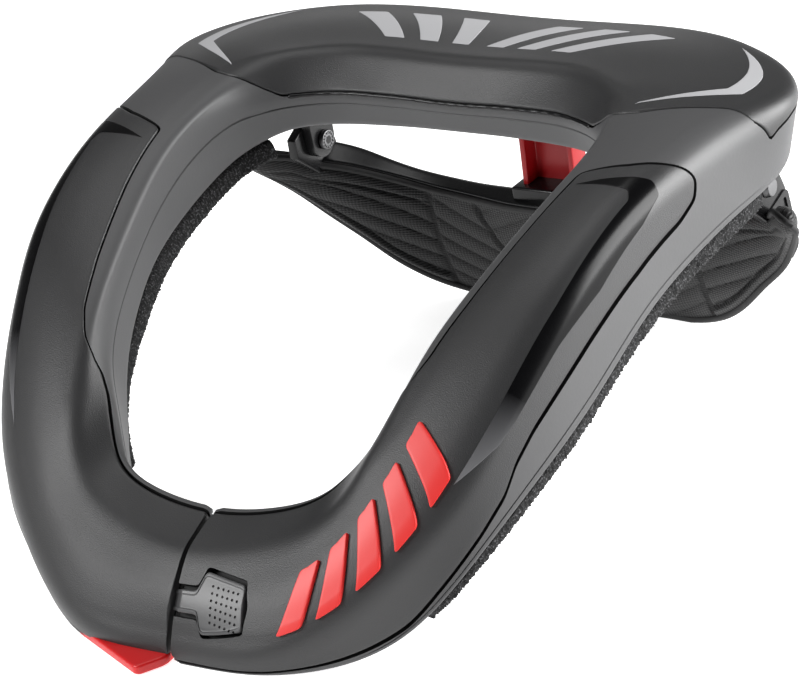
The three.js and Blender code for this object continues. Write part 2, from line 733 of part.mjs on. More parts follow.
const foot = box(
  new THREE.Vector3(-spacerWidth / 2 - footWall, spacerFront - footWall, footBottom),
  new THREE.Vector3(spacerWidth / 2 + footWall, spacerBack + footWall, footTop),
);
const yokeFrame = subtract(
  join(
    yokeChannel,
    sidePrism(earShape(), earInner, earOuter),
    sidePrism(earShape(), -earOuter, -earInner),
    foot,
  ),
  spacerBlock(seatGap, spacerBottom - seatGap, footTop + socketHeight),
);

// The spacer is a channel, open to the front
const spacerHalf = spacerWidth / 2;
const spacerInner = spacerHalf - spacerWall;
const spacerWeb = spacerDepth - spacerWall;
const spacerShape = new THREE.Shape([
  [-spacerHalf, 0], [-spacerInner, 0], [-spacerInner, spacerWeb], [spacerInner, spacerWeb],
  [spacerInner, 0], [spacerHalf, 0], [spacerHalf, spacerDepth], [-spacerHalf, spacerDepth],
].map(([x, y]) => new THREE.Vector2(x, y)));
const spacerSettings = { depth: spacerTop - spacerBottom, bevelEnabled: false };
const spacer = new THREE.ExtrudeGeometry(spacerShape, spacerSettings);
lean(spacer.translate(0, spacerFront, spacerBottom));

// Yoke pad: it fills the channel and bulges forward from it, and runs on to a tip at each end
function yokePadRing(station, hasFrame) {
  const frontBottom = yokePoint(station.across, station.frontBottom);
  let frontTop = yokePoint(station.across, station.frontTop);
  const down = frontBottom.clone().sub(frontTop).normalize();
  const forward = new THREE.Vector3(0, down.z, -down.y);
  let back;
  if (hasFrame) {
    const { inside } = channelCorners(station, yokeWall + seatGap);
    back = inside.slice(0, 3);
    frontTop = inside[3];
  } else {
    back = [frontBottom, frontBottom.clone().lerp(frontTop, 0.5), frontTop].map((point, i) =>
      point.clone().addScaledVector(forward, -yokeTipDepth * (i === 1 ? 1 : 0.8)));
  }
  const front = [0, 0.12, 0.5, 0.88, 1].map((share) => {
    const bulge = Math.sin(Math.PI * share) ** 0.6;
    return frontTop.clone().lerp(frontBottom, share).addScaledVector(forward, yokePadRise * bulge);
  });
  return [...front, ...back];
}

const padRings = [
  ...[...yokeTips].reverse().map((tip) => yokePadRing({ ...tip, across: -tip.across }, false)),
  ...mirroredStations(filledYoke).map((station) => yokePadRing(station, true)),
  ...yokeTips.map((tip) => yokePadRing(tip, false)),
];
const yokePadBody = ringSolid(padRings);

// Felt strip along the bottom of an arm, on the same stations as the collar above it
const feltRun = { front: 4.2, back: 13.3 };
const feltRounds = [4.1, 4.36, 4.64, 4.9];
const feltStations = ringStations.filter((station) => station > feltRun.front && station < feltRun.back);
function feltStrip(side) {
  const stations = side > 0 ? feltStations : feltStations.map((station) => fullTurn - station);
  const sheet = (offset) => stations.map((station) =>
    feltRounds.map((round) => offsetPoint(station, round, offset)));
  return sheetSolid(sheet(feltGap + feltThickness), sheet(feltGap));
}

// Raised slanted bars near the chest
const barRun = { first: 1.85, pitch: 0.74, width: 0.46, slant: 0.34, top: 2.36, bottom: 2.92 };
function barCorners(index) {
  const start = barRun.first + index * barRun.pitch;
  return [
    [start + barRun.slant, barRun.top], [start + barRun.slant + barRun.width, barRun.top],
    [start + barRun.width, barRun.bottom], [start, barRun.bottom],
  ];
}

// Bolt through the lug and the ear, with a head at each end
function boltProfile() {
  const nutFace = lugInner - seatGap;
  const headFace = earOuter + seatGap;
  const nutRadius = 0.8 * boltHeadRadius;
  const points = [
    [0, nutFace - boltHeadThickness], [nutRadius, nutFace - boltHeadThickness],
    [nutRadius, nutFace], [pivotRadius, nutFace],
    [pivotRadius, headFace], [boltHeadRadius, headFace],
    [boltHeadRadius, headFace + 0.6 * boltHeadThickness],
    [0.75 * boltHeadRadius, headFace + boltHeadThickness], [0, headFace + boltHeadThickness],
  ];
  const profile = points.map(([radius, height]) => new THREE.Vector2(radius, height));
  return new THREE.LatheGeometry(profile, boltSides)
    .rotateZ(-Math.PI / 2);
}

// Sockets in the collar for the lugs and for the top of the spacer
const lugSocket = sidePrism(lugShape(seatGap, false), lugInner - seatGap, lugOuter + seatGap);
const lugSocketOther = sidePrism(lugShape(seatGap, false), -lugOuter - seatGap, -lugInner + seatGap);
const spacerSocket = spacerBlock(seatGap, spacerBottom, spacerTop + seatGap);

addPiece('collar_base', subtract(
  collarBody, ...padPockets, tabPocket, lugSocket, lugSocketOther, spacerSocket), finishes.base);
addPiece('rear_pad', rearPadBody, finishes.pad);
addPiece('arm_pad_left', subtract(armPadLeft, ...tonguePocket), finishes.pad);
addPiece('arm_pad_right', subtract(armPadRight, rootPocket, tabPocket), finishes.pad);
addPiece('felt_left', feltStrip(1), finishes.felt);
addPiece('felt_right', feltStrip(-1), finishes.felt);
addPiece('latch_tongue', tongue, finishes.rubber);
addPiece('pull_tab', pullTab, finishes.red);
for (let i = 0; i < barCount; i++) {
  const bar = cornerSlab(barCorners(i), 0, padProud + seatGap + barHeight, padProud + seatGap);
  addPiece(`red_bar_${i + 1}`, bar, finishes.red);
}
addPiece('yoke_frame', yokeFrame, finishes.yoke);
addPiece('yoke_pad', yokePadBody, finishes.mesh);
addPiece('yoke_spacer', spacer, finishes.spacer);
addPiece('pivot_lug_left', sidePrism(lugShape(0, true), lugInner, lugOuter), finishes.yoke);
addPiece('pivot_lug_right', sidePrism(lugShape(0, true), -lugOuter, -lugInner), finishes.yoke);
addPiece('pivot_bolt_left', boltProfile().translate(0, pivot.back, pivot.up), finishes.bolt);
addPiece('pivot_bolt_right', boltProfile().rotateZ(Math.PI).translate(0, pivot.back, pivot.up), finishes.bolt);

// The origin lies on the floor below the middle of the part
const extent = new THREE.Box3().setFromObject(group);
const middle = extent.getCenter(new THREE.Vector3());
group.position.set(-middle.x, -middle.y, -extent.min.z);

export default group;
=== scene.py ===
# Motocross neck brace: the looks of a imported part. Metres, +Z up, +X to the wearer's left,
# +Y to the back, all in the part's own frame.
import math

import bmesh
import bpy
import numpy as np
from mathutils import Matrix, Vector


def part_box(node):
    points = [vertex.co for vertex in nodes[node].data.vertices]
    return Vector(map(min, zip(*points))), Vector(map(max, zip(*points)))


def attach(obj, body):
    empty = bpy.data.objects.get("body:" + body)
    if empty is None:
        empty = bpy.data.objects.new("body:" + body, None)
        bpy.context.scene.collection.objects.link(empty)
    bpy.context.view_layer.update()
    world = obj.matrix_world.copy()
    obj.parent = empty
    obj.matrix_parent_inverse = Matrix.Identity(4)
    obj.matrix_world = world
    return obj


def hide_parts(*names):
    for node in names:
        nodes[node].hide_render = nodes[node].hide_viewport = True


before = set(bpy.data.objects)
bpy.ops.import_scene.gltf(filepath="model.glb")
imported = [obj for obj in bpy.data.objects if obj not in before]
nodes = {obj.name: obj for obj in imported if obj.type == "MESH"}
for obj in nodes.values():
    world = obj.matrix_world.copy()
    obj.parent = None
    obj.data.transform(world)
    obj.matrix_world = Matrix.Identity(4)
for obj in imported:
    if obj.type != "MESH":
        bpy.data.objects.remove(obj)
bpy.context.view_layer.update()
mm = 0.001
print("frame loaded")

# Colour and nodes


def linearColour(code, alpha=1.0):
    # sRGB hex to linear.
    parts = [int(code[i:i + 2], 16) / 255 for i in (0, 2, 4)]
    linear = [c / 12.92 if c <= 0.04045 else ((c + 0.055) / 1.055) ** 2.4 for c in parts]
    return (*linear, alpha)


def addNode(tree, kind, inputs=None, **settings):
    node = tree.nodes.new(kind)
    for key, value in settings.items():
        setattr(node, key, value)
    for key, value in (inputs or {}).items():
        if isinstance(value, bpy.types.NodeSocket):
            tree.links.new(value, node.inputs[key])
        else:
            node.inputs[key].default_value = value
    return node


def newMaterial(name, **sockets):
    material = bpy.data.materials.new(name)
    material.use_nodes = True
    tree = material.node_tree
    shader = tree.nodes["Principled BSDF"]
    for key, value in sockets.items():
        shader.inputs[key.replace("_", " ")].default_value = value
    place = addNode(tree, "ShaderNodeTexCoord").outputs["Object"]
    return material, tree, shader, place


def perMetre(millimetres):
    # Noise scale for a grain of that size.
    return 1000.0 / millimetres


# Small sums


def unit(vectors):
    return vectors / np.maximum(np.linalg.norm(vectors, axis=1), 1e-9)[:, None]


def softStep(share):
    # From 0 to 1 without a kink at either end.
    share = np.clip(share, 0, 1)
    return share * share * (3 - 2 * share)


def quarterRound(share):
    # How far a rounded end has filled out, from 0 at its tip to 1.
    return np.sqrt(np.maximum(1 - (1 - np.clip(share, 0, 1)) ** 2, 0))


def softWeights(sigma):
    # Steps and weights of an average that eases a row of points.
    reach = max(int(2.5 * sigma), 1)
    steps = np.arange(-reach, reach + 1)
    weights = np.exp(-0.5 * (steps / sigma) ** 2)
    return steps, weights / weights.sum()


# Skin of the collar

# Its section has five corners, numbered from the inner bottom round to the outer bottom. Stations
# run from the chest split at 0 to the middle of the back at 20 and on to the split at 40. The rails
# give each corner's place at the stations to 20, as shares across, back and up.
collar = dict(
    width=308 * mm, length=325 * mm, height=150 * mm,
    rounds=[3 * mm, 3 * mm, 5.5 * mm, 9 * mm, 3 * mm],
    armRounds=[3 * mm, 7 * mm, 12 * mm, 13 * mm, 3 * mm], armFrom=6, armTo=12.5, armRun=2.0,
    topRise=1.6 * mm, splitGap=1.8 * mm, easing=0.42,
    columns=380, rows=170, endRound=1.1 * mm, ringLength=1050 * mm,
)
rails = [
    # inner bottom
    [(0, .117, .22), (.188, .12, .253), (.292, .142, .28), (.344, .172, .313), (.39, .197, .32),
     (.442, .231, .333), (.5, .271, .387), (.545, .317, .48), (.578, .382, .58), (.604, .44, .633),
     (.623, .511, .673), (.623, .585, .713), (.61, .637, .74), (.558, .674, .767), (.487, .702, .787),
     (.39, .72, .787), (.312, .726, .787), (.234, .729, .787), (.143, .732, .787),
     (.065, .732, .787), (0, .732, .787)],
    # inner edge
    [(0, .123, .307), (.201, .126, .34), (.305, .145, .367), (.351, .166, .4), (.39, .188, .44),
     (.429, .209, .487), (.481, .237, .573), (.513, .283, .653), (.552, .36, .733),
     (.584, .428, .793), (.61, .498, .847), (.617, .569, .887), (.591, .628, .907),
     (.545, .662, .9), (.481, .689, .893), (.39, .708, .893), (.312, .714, .893),
     (.234, .717, .89), (.143, .72, .887), (.065, .72, .883), (0, .72, .883)],
    # inner crown
    [(0, .046, .253), (.201, .062, .267), (.338, .083, .32), (.409, .108, .38), (.455, .138, .467),
     (.481, .172, .547), (.506, .215, .633), (.526, .274, .72), (.558, .354, .8), (.584, .422, .86),
     (.61, .492, .913), (.623, .566, .947), (.617, .631, .973), (.597, .674, .987), (.545, .711, 1),
     (.468, .735, 1), (.377, .754, 1), (.273, .757, 1), (.169, .754, 1), (.078, .751, 1),
     (0, .751, 1)],
    # outer crown
    [(0, -.012, .06), (.195, -.015, .06), (.344, -.003, .087), (.481, .031, .16), (.61, .08, .28),
     (.708, .135, .413), (.779, .203, .567), (.825, .283, .727), (.857, .348, .827),
     (.877, .428, .9), (.896, .508, .94), (.916, .585, .953), (.935, .658, .96), (.974, .726, .955),
     (1, .791, .943), (.929, .858, .947), (.792, .905, .954), (.617, .948, .952), (.403, .972, .94),
     (.195, .983, .925), (0, .986, .919)],
    # outer bottom
    [(0, -.012, -.007), (.195, -.012, -.007), (.338, .009, -.007), (.474, .052, 0),
     (.597, .092, .06), (.708, .123, .18), (.779, .178, .287), (.844, .277, .407), (.87, .36, .487),
     (.89, .449, .587), (.903, .523, .64), (.922, .6, .68), (.942, .668, .707), (.948, .732, .713),
     (.942, .788, .727), (.89, .846, .747), (.773, .892, .767), (.61, .932, .773),
     (.39, .954, .767), (.195, .966, .757), (0, .969, .753)],
]
sectionCorners = len(rails)
lastStation = len(rails[0]) - 1
fullTurn = 2 * lastStation
samplesPerStation = 48

# The rails are measured from the chest and the floor, and the part's own bolt and tab give their place
boltLow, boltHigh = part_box("pivot_bolt_left")
pivotBack = 0.874 * collar["length"]
pivotUp = 0.567 * collar["height"]
shift = Vector((0, (boltLow.y + boltHigh.y) / 2 - pivotBack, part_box("pull_tab")[0].z))


def denseRails():
    # Each corner line as many points round the whole ring, eased so that light runs smoothly.
    table = np.array(rails, float) * [collar["width"] / 2, collar["length"], collar["height"]]
    table = np.swapaxes(table, 0, 1)
    mirrored = table[-2:0:-1] * [-1, 1, 1]
    ring = np.concatenate([table, mirrored])
    share = np.arange(samplesPerStation)[:, None, None] / samplesPerStation
    rows = []
    for i in range(fullTurn):
        a, b, c, d = (ring[(i + k) % fullTurn] for k in (-1, 0, 1, 2))
        rows.append(0.5 * (2 * b + (c - a) * share + (2 * a - 5 * b + 4 * c - d) * share ** 2
                           + (3 * b - a - 3 * c + d) * share ** 3))
    dense = np.concatenate(rows)
    steps, weights = softWeights(collar["easing"] * samplesPerStation)
    eased = sum(w * np.roll(dense, -k, axis=0) for k, w in zip(steps, weights))
    return np.swapaxes(eased, 0, 1) + np.array(shift)


ringRails = denseRails()


def railAt(corner, station):
    at = np.asarray(station, float) * samplesPerStation
    low = np.floor(at).astype(int)
    share = (at - low)[..., None]
    count = ringRails.shape[1]
    here, following = ringRails[corner, low % count], ringRails[corner, (low + 1) % count]
    return here * (1 - share) + following * share


mostOfWall = 0.45  # a rounding takes no more than this share of a wall


def ringReach(corners, radii):
    # How far each corner's rounding reaches into the walls before and after it.
    toNext = np.linalg.norm(np.roll(corners, -1, axis=0) - corners, axis=-1)
    radii = np.array(radii, float).reshape(len(radii), -1)
    before = np.minimum(radii / np.roll(toNext, 1, axis=0), mostOfWall)
    after = np.minimum(radii / toNext, mostOfWall)
    return before, after, toNext


def roundsAt(station):
    # Radii of the section's corners. The arms are rounder over the shoulders than at the chest and back.
    fromChest = lastStation - np.abs(np.asarray(station, float) % fullTurn - lastStation)
    near = np.minimum(fromChest - collar["armFrom"], collar["armTo"] - fromChest) / collar["armRun"]
    plain, rounder = (np.array(collar[key])[:, None] for key in ("rounds", "armRounds"))
    return plain + (rounder - plain) * softStep(near + 1)


def roundedRing(corners, radii, around):
    # Points of closed rings. The whole numbers of around are the rings' corners, in order.
    count = len(corners)
    before, after, toNext = ringReach(corners, radii)
    nearest = np.round(around).astype(int)
    share = (around - nearest)[:, None]
    rows = np.arange(len(around))
    here = corners[nearest % count, rows]
    previous = corners[(nearest - 1) % count, rows]
    following = corners[(nearest + 1) % count, rows]
    back = before[nearest % count, rows][:, None]
    ahead = after[nearest % count, rows][:, None]
    turn = np.clip((share + back) / (back + ahead), 0, 1)
    start = here + (previous - here) * back
    end = here + (following - here) * ahead
    rounded = start * (1 - turn) ** 2 + here * 2 * turn * (1 - turn) + end * turn ** 2
    flat = np.where(share > 0, here + (following - here) * share, here - (previous - here) * share)
    return np.where((share >= -back) & (share <= ahead), rounded, flat)


def aroundRing(v, corners, radii, grooves=None):
    # Spreads shares of a ring so that each rounding and each wall gets as many points, and says how
    # deep each point sinks. Grooves names the walls that have one, each with the groove's place as a
    # share of the wall, its half width and its depth, and its points are set closer.
    count = len(corners)
    before, after, toNext = ringReach(corners, radii)
    rows = np.arange(len(v))
    corner = np.floor(v * count + 0.25)
    part = v * count + 0.25 - corner
    index = corner.astype(int) % count
    back, ahead = before[index, rows], after[index, rows]
    wallEnd = corner + 1 - before[(index + 1) % count, rows]
    along = np.where(part < 0.5, corner - back + 2 * part * (back + ahead),
                     corner + ahead + (2 * part - 1) * (wallEnd - corner - ahead))
    sink = np.zeros(len(v))
    for wall, cut in (grooves or {}).items():
        here = (index == wall) & (part >= 0.5)
        middle = corner + cut["share"]
        half = cut["half"] / toNext[index, rows]
        inGroove = [middle + k * half for k in (-2, -1, -0.4, 0, 0.4, 1, 2)]
        knots = np.stack([corner + ahead, *inGroove, wallEnd])
        at = np.interp(2 * part - 1, [0, 0.25, 0.38, 0.45, 0.5, 0.55, 0.62, 0.75, 1], np.arange(len(knots)))
        low = np.minimum(np.floor(at).astype(int), len(knots) - 2)
        placed = knots[low, rows] + (knots[low + 1, rows] - knots[low, rows]) * (at - low)
        along = np.where(here, placed, along)
        sink -= np.where(here, cut["depth"] * np.clip(1 - np.abs(placed - middle) / half, 0, 1), 0)
    return along, sink


def sectionAt(station):
    return np.stack([railAt(corner, station) for corner in range(sectionCorners)])


def skinAt(station, around):
    # Points of the skin. The whole numbers of around are the section's corners in rail order.
    station = np.asarray(station, float).ravel()
    around = np.asarray(around, float).ravel() % sectionCorners
    corners = sectionAt(station)
    points = roundedRing(corners, roundsAt(station), around)
    onTop = (around > 2) & (around < 3)
    if onTop.any():
        step = 0.05
        run = (railAt(2, station + step) + railAt(3, station + step)
               - railAt(2, station - step) - railAt(3, station - step))
        outward = np.cross(corners[3] - corners[2], run)
        outward /= np.linalg.norm(outward, axis=1)[:, None]
        swell = np.where(onTop, collar["topRise"] * np.sin(np.pi * (around - 2)) ** 2, 0)
        points = points + outward * swell[:, None]
    return points


def skinNormal(station, around):
    # Which way the skin faces.
    station, around = np.asarray(station, float), np.asarray(around, float)
    step = 0.03
    alongRing = skinAt(station + step, around) - skinAt(station - step, around)
    aroundSection = skinAt(station, around + step) - skinAt(station, around - step)
    normal = np.cross(aroundSection, alongRing)
    return normal / np.linalg.norm(normal, axis=1)[:, None]


def overSkin(station, around, height):
    # Points that stand off the skin by a height.
    height = np.broadcast_to(np.asarray(height, float), np.shape(station))
    return skinAt(station, around) + skinNormal(station, around) * height.ravel()[:, None]


# Meshes

weld = 2e-6  # points closer than this are one


def wrappedGrid(columns, rows, place):
    # A grid whose points are laid where place says, for shares u along columns and v along rows.
    bm = bmesh.new()
    bmesh.ops.create_grid(bm, x_segments=columns, y_segments=rows, size=0.5)
    u = np.array([v.co.x for v in bm.verts]) + 0.5
    v = np.array([v.co.y for v in bm.verts]) + 0.5
    for vert, point in zip(bm.verts, place(u, v)):
        vert.co = point
    return bm


def closeEnds(bm):
    # Joins a wrapped grid's seam and closes its open ends.
    bmesh.ops.remove_doubles(bm, verts=bm.verts, dist=weld)
    bmesh.ops.holes_fill(bm, edges=[e for e in bm.edges if e.is_boundary], sides=0)


def finishMesh(bm, name, material, smoothAngle=40, merge=weld):
    if merge:
        bmesh.ops.remove_doubles(bm, verts=bm.verts, dist=merge)
    bmesh.ops.dissolve_degenerate(bm, edges=bm.edges, dist=1e-7)
    bmesh.ops.recalc_face_normals(bm, faces=bm.faces)
    if bm.calc_volume(signed=True) < 0:
        bmesh.ops.reverse_faces(bm, faces=bm.faces)
    mesh = bpy.data.meshes.new(name)
    bm.to_mesh(mesh)
    bm.free()
    mesh.materials.append(material)
    mesh.shade_smooth()
    mesh.set_sharp_from_angle(angle=math.radians(smoothAngle))
    piece = bpy.data.objects.new(name, mesh)
    bpy.context.scene.collection.objects.link(piece)
    return piece


def applyModifiers(piece):
    # Makes what the modifiers show the piece's own mesh.
    graph = bpy.context.evaluated_depsgraph_get()
    mesh = bpy.data.meshes.new_from_object(piece.evaluated_get(graph))
    old = piece.data
    piece.modifiers.clear()
    piece.data = mesh
    bpy.data.meshes.remove(old)
    return piece


def cutAway(piece, cutters, smoothAngle=35):
    for cutter in cutters:
        cut = piece.modifiers.new("cut", "BOOLEAN")
        cut.operation = "DIFFERENCE"
        cut.solver = "MANIFOLD"
        cut.material_mode = "TRANSFER"  # the cut walls keep the cutter's black: painted shade in the seams and holes
        cut.object = cutter
    applyModifiers(piece)
    for cutter in set(cutters):
        bpy.data.objects.remove(cutter)
    piece.data.shade_smooth()
    piece.data.set_sharp_from_angle(angle=math.radians(smoothAngle))
    return piece


def shown(piece, slotName, *standsFor):
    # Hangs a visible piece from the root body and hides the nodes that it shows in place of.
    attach(piece, "root")
    if standsFor:
        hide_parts(*standsFor)
    return piece


# Lines on the skin, as rows of station and around


def easedLine(points, radius, step=0.6 * mm):
    # A line through the points, its corners rounded, with points at an even step of real length.
    points = np.array(points, float)
    fine = []
    share = np.linspace(0, 1, 60, endpoint=False)[:, None]
    for a, b in zip(points[:-1], points[1:]):
        fine.append(a + (b - a) * share)
    line = np.concatenate([*fine, points[-1:]])
    for _ in range(2):  # the second round evens out what the first leaves
        solid = skinAt(line[:, 0], line[:, 1])
        run = np.concatenate([[0], np.cumsum(np.linalg.norm(np.diff(solid, axis=0), axis=1))])
        count = max(int(run[-1] / step), 8)
        even = np.linspace(0, run[-1], count)
        line = np.stack([np.interp(even, run, line[:, k]) for k in (0, 1)], axis=1)
    steps, weights = softWeights(radius / step)
    reach = steps[-1]
    before = 2 * line[0] - line[reach:0:-1]
    after = 2 * line[-1] - line[-2:-reach - 2:-1]
    padded = np.concatenate([before, line, after])
    eased = np.stack([np.convolve(padded[:, k], weights, "valid") for k in (0, 1)], axis=1)
    eased[0], eased[-1] = line[0], line[-1]
    return eased


def along(line, share):
    # Points at shares of a line's length.
    at = np.asarray(share) * (len(line) - 1)
    return np.stack([np.interp(at, np.arange(len(line)), line[:, k]) for k in (0, 1)], axis=1)


def spineSheet(edges, size, ends, rim, grow=0.0, lowered=None):
    # A sheet between two edges that run from one end's middle to the other's. Its size is its count
    # of columns and rows, and ends says over what shares of its length its ends close. Rim gives the
    # heights of its loops at distances in from the edge, and its last height is that of the rest.
    inner, outer = edges
    columns, rows = size
    loops = len(rim["distance"])
    rimWidth = max(rim["distance"][-1], 1e-6)

    def place(u, v):
        middle = np.clip(u, ends[0], 1 - ends[1])
        spine = (along(inner, middle) + along(outer, middle)) / 2
        rimLine = np.where((v < 0.5)[:, None], along(inner, u), along(outer, u))
        length = np.linalg.norm(skinAt(rimLine[:, 0], rimLine[:, 1])
                                - skinAt(spine[:, 0], spine[:, 1]), axis=1)
        length = np.maximum(length, 1.2 * rimWidth)
        index = (1 - np.abs(2 * v - 1)) * rows / 2
        distance = np.interp(index, np.arange(loops), rim["distance"]) - grow
        height = np.interp(index, np.arange(loops), rim["height"])
        beyond = np.clip((index - loops + 1) / (rows / 2 - loops + 1), 0, 1)
        share = distance / length * (1 - beyond) + beyond
        at = rimLine + (spine - rimLine) * share[:, None]
        if lowered is not None:
            height = height + lowered(at[:, 0])
        return overSkin(at[:, 0], at[:, 1], height)

    return wrappedGrid(columns, rows, place)


def spineBody(name, material, edges, size, ends, rim, depth, grow=0.0, lowered=None):
    # A closed body whose top is a spine sheet and whose underside lies at a depth.
    under = dict(distance=rim["distance"], height=np.full(len(rim["distance"]), -depth))
    bm = spineSheet(edges, size, ends, rim, grow, lowered)
    below = spineSheet(edges, size, ends, under, grow, lowered)
    mesh = bpy.data.meshes.new("below")
    below.to_mesh(mesh)
    below.free()
    bm.from_mesh(mesh)
    bpy.data.meshes.remove(mesh)
    return finishMesh(bm, name, material)


def roundedRim(radius, proud, depth, steps=7):
    # Loops of a rounded edge: up the side, then over the rounding.
    turns = np.linspace(0, math.pi / 2, steps)
    distance = [0, *(radius * (1 - np.cos(turns)))]
    height = [-depth, *(proud - radius + radius * np.sin(turns))]
    return dict(distance=np.array(distance), height=np.array(height))


def pocketRim(depth, top):
    # Loops of a straight wall from a pocket's floor to well above the skin.
    return dict(distance=np.array([0, 0, 1]) * mm, height=np.array([-depth, top, top]))


def mirrorLine(line):
    return np.array([[fullTurn - s, t] for s, t in line])


def wholeRear(half):
    return half + [(fullTurn - s, t) for s, t in reversed(half[:-1])]


# Moulded pads, in pockets that leave a seam round them, its walls painted black as shade

padOutline = dict(
    radius=1.5 * mm, proud=0.3 * mm, thickness=3.4 * mm, seam=1.2 * mm,
    pocketTop=4 * mm, pocketFloor=4.3 * mm, pocketGrid=(220, 24),
)
splitStation = 0.5 * collar["splitGap"] / (rails[2][1][0] * collar["width"] / 2)
# Inner and outer edges of the pads, as rows of station and around
armInner = [
    (splitStation, 2.4), (splitStation, 1.17), (3.5, 1.17), (4.9, 1.15), (5.4, 1.25), (5.7, 1.5),
    (6.1, 1.83), (6.6, 2.0), (7.5, 2.08), (9, 2.14), (10.42, 2.15), (10.58, 2.61),
]
armOuter = [
    (splitStation, 2.4), (splitStation, 3.7), (2, 3.74), (4, 3.84), (4.6, 3.8), (5.6, 3.78),
    (6.1, 3.73), (6.35, 3.6), (6.7, 3.55), (8.08, 3.54), (9.33, 3.56), (10.5, 3.53),
    (10.95, 3.45), (11.08, 3.28), (10.97, 3.1), (10.76, 2.86), (10.58, 2.61),
]
rearInner = [
    (12.58, 2.2), (12.6, 1.98), (12.75, 1.75), (13.25, 1.35), (13.75, 1.06), (15, 1.05), (20, 1.05),
]
rearOuter = [
    (12.58, 2.2), (12.83, 2.61), (13, 2.85), (12.86, 3.1), (13.18, 3.39), (13.42, 3.32),
    (14, 3.25), (17, 3.24), (20, 3.24),
]
armEdges = [easedLine(armInner, 1.6 * mm), easedLine(armOuter, 1.8 * mm)]
rearEdges = [easedLine(wholeRear(rearInner), 1.2 * mm), easedLine(wholeRear(rearOuter), 0.8 * mm)]
armPad = dict(grid=(280, 64), ends=(0.09, 0.15))
pads = [
    dict(node="arm_pad_left", edges=armEdges, **armPad),
    dict(node="arm_pad_right", edges=[mirrorLine(edge) for edge in armEdges], **armPad),
    dict(node="rear_pad", edges=rearEdges, grid=(340, 72), ends=(0.07, 0.07)),
]

# Parting lines of the shell's mould: one below the neck opening's edge, one low on the outside
partingLines = {
    0: dict(share=0.7, half=0.5 * mm, depth=0.7 * mm),
    3: dict(share=0.9, half=0.4 * mm, depth=0.45 * mm),
}


def collarShell(material):
    # The collar's whole skin as a ring, its two ends rounded over at the split.
    def place(u, v):
        station = splitStation + u * (fullTurn - 2 * splitStation)
        around, sink = aroundRing(v, sectionAt(station), roundsAt(station), partingLines)
        fromEnd = np.minimum(u, 1 - u) * collar["ringLength"]
        sink = sink - collar["endRound"] * (1 - quarterRound(fromEnd / collar["endRound"]))
        return overSkin(station, around, sink)

    bm = wrappedGrid(collar["columns"], collar["rows"], place)
    closeEnds(bm)
    return finishMesh(bm, "collar_shell", material)


def buildCollar(materials):
    shell = collarShell(materials["shellFoam"])
    rim = roundedRim(padOutline["radius"], padOutline["proud"], padOutline["thickness"])
    pocket = pocketRim(padOutline["pocketFloor"], padOutline["pocketTop"])
    pockets = [
        spineBody("pocket", materials["shadeAndWeltBlack"], pad["edges"], padOutline["pocketGrid"], pad["ends"],
                  pocket, padOutline["pocketFloor"], grow=padOutline["seam"])
        for pad in pads
    ]
    cutAway(shell, pockets)
    shown(shell, "shell_foam", "collar_base")
    for pad in pads:
        piece = spineBody(pad["node"] + "_skin", materials["padSkin"], pad["edges"], pad["grid"],
                          pad["ends"], rim, padOutline["thickness"])
        if pad["node"] == "arm_pad_left":
            cutAway(piece, [latchPocket()])
        shown(piece, "pad_skin", pad["node"])
    print("collar and pads built")


# Materials


def roughGrain(tree, shader, place, grain, depth, detail=3.0):
    # A fine relief of a grain size and a depth, both in millimetres.
    noise = addNode(tree, "ShaderNodeTexNoise",
                    {"Vector": place, "Scale": perMetre(grain), "Detail": detail})
    bump = addNode(tree, "ShaderNodeBump", {"Height": noise.outputs["Fac"], "Distance": depth * mm})
    tree.links.new(bump.outputs["Normal"], shader.inputs["Normal"])
    return noise


def shellFoamMaterial():
    # moulded EVA foam skin: satin charcoal that takes broad soft highlights, almost no pebble
    material, tree, shader, place = newMaterial(
        "mouldedEvaSkin", Base_Color=linearColour("414142"), Roughness=0.52, IOR=1.5)
    roughGrain(tree, shader, place, grain=1.5, depth=0.035)
    return material


def padSkinMaterial():
    # moulded soft pad skin: darker than the shell, with a sharp fine grain that glitters where light
    # falls along it. The real grain is finer, and is drawn as coarse as it needs to show.
    material, tree, shader, place = newMaterial(
        "mouldedPadSkin", Base_Color=linearColour("242425"), Roughness=0.45, IOR=1.5)
    roughGrain(tree, shader, place, grain=0.45, depth=0.11, detail=1.5)
    return material


def glossPrintMaterial():
    # film print on the arm pads: black and glossy, its colour turning grey towards the far tip
    material, tree, shader = newMaterial("glossBlackPrint", Roughness=0.25, Specular_IOR_Level=0.14)[:3]
    fadeStart = 0.72
    fade = addNode(tree, "ShaderNodeAttribute", attribute_name="fade")
    ramp = addNode(tree, "ShaderNodeMapRange", {"Value": fade.outputs["Fac"], "From Min": fadeStart})
    mix = addNode(tree, "ShaderNodeMix", data_type="RGBA")
    tree.links.new(ramp.outputs["Result"], mix.inputs["Factor"])
    mix.inputs[6].default_value = linearColour("060607")
    mix.inputs[7].default_value = linearColour("6c6c6e")
    tree.links.new(mix.outputs[2], shader.inputs["Base Color"])
    return material


def silverPrintMaterial():
    # metallic ink: light grey and matt, with a faint grain that breaks up its shine
    material, tree, shader, place = newMaterial(
        "silverInk", Base_Color=linearColour("a6a6a8"), Roughness=0.62, Specular_IOR_Level=0.2)
    roughGrain(tree, shader, place, grain=0.75, depth=0.03, detail=2.0)
    return material


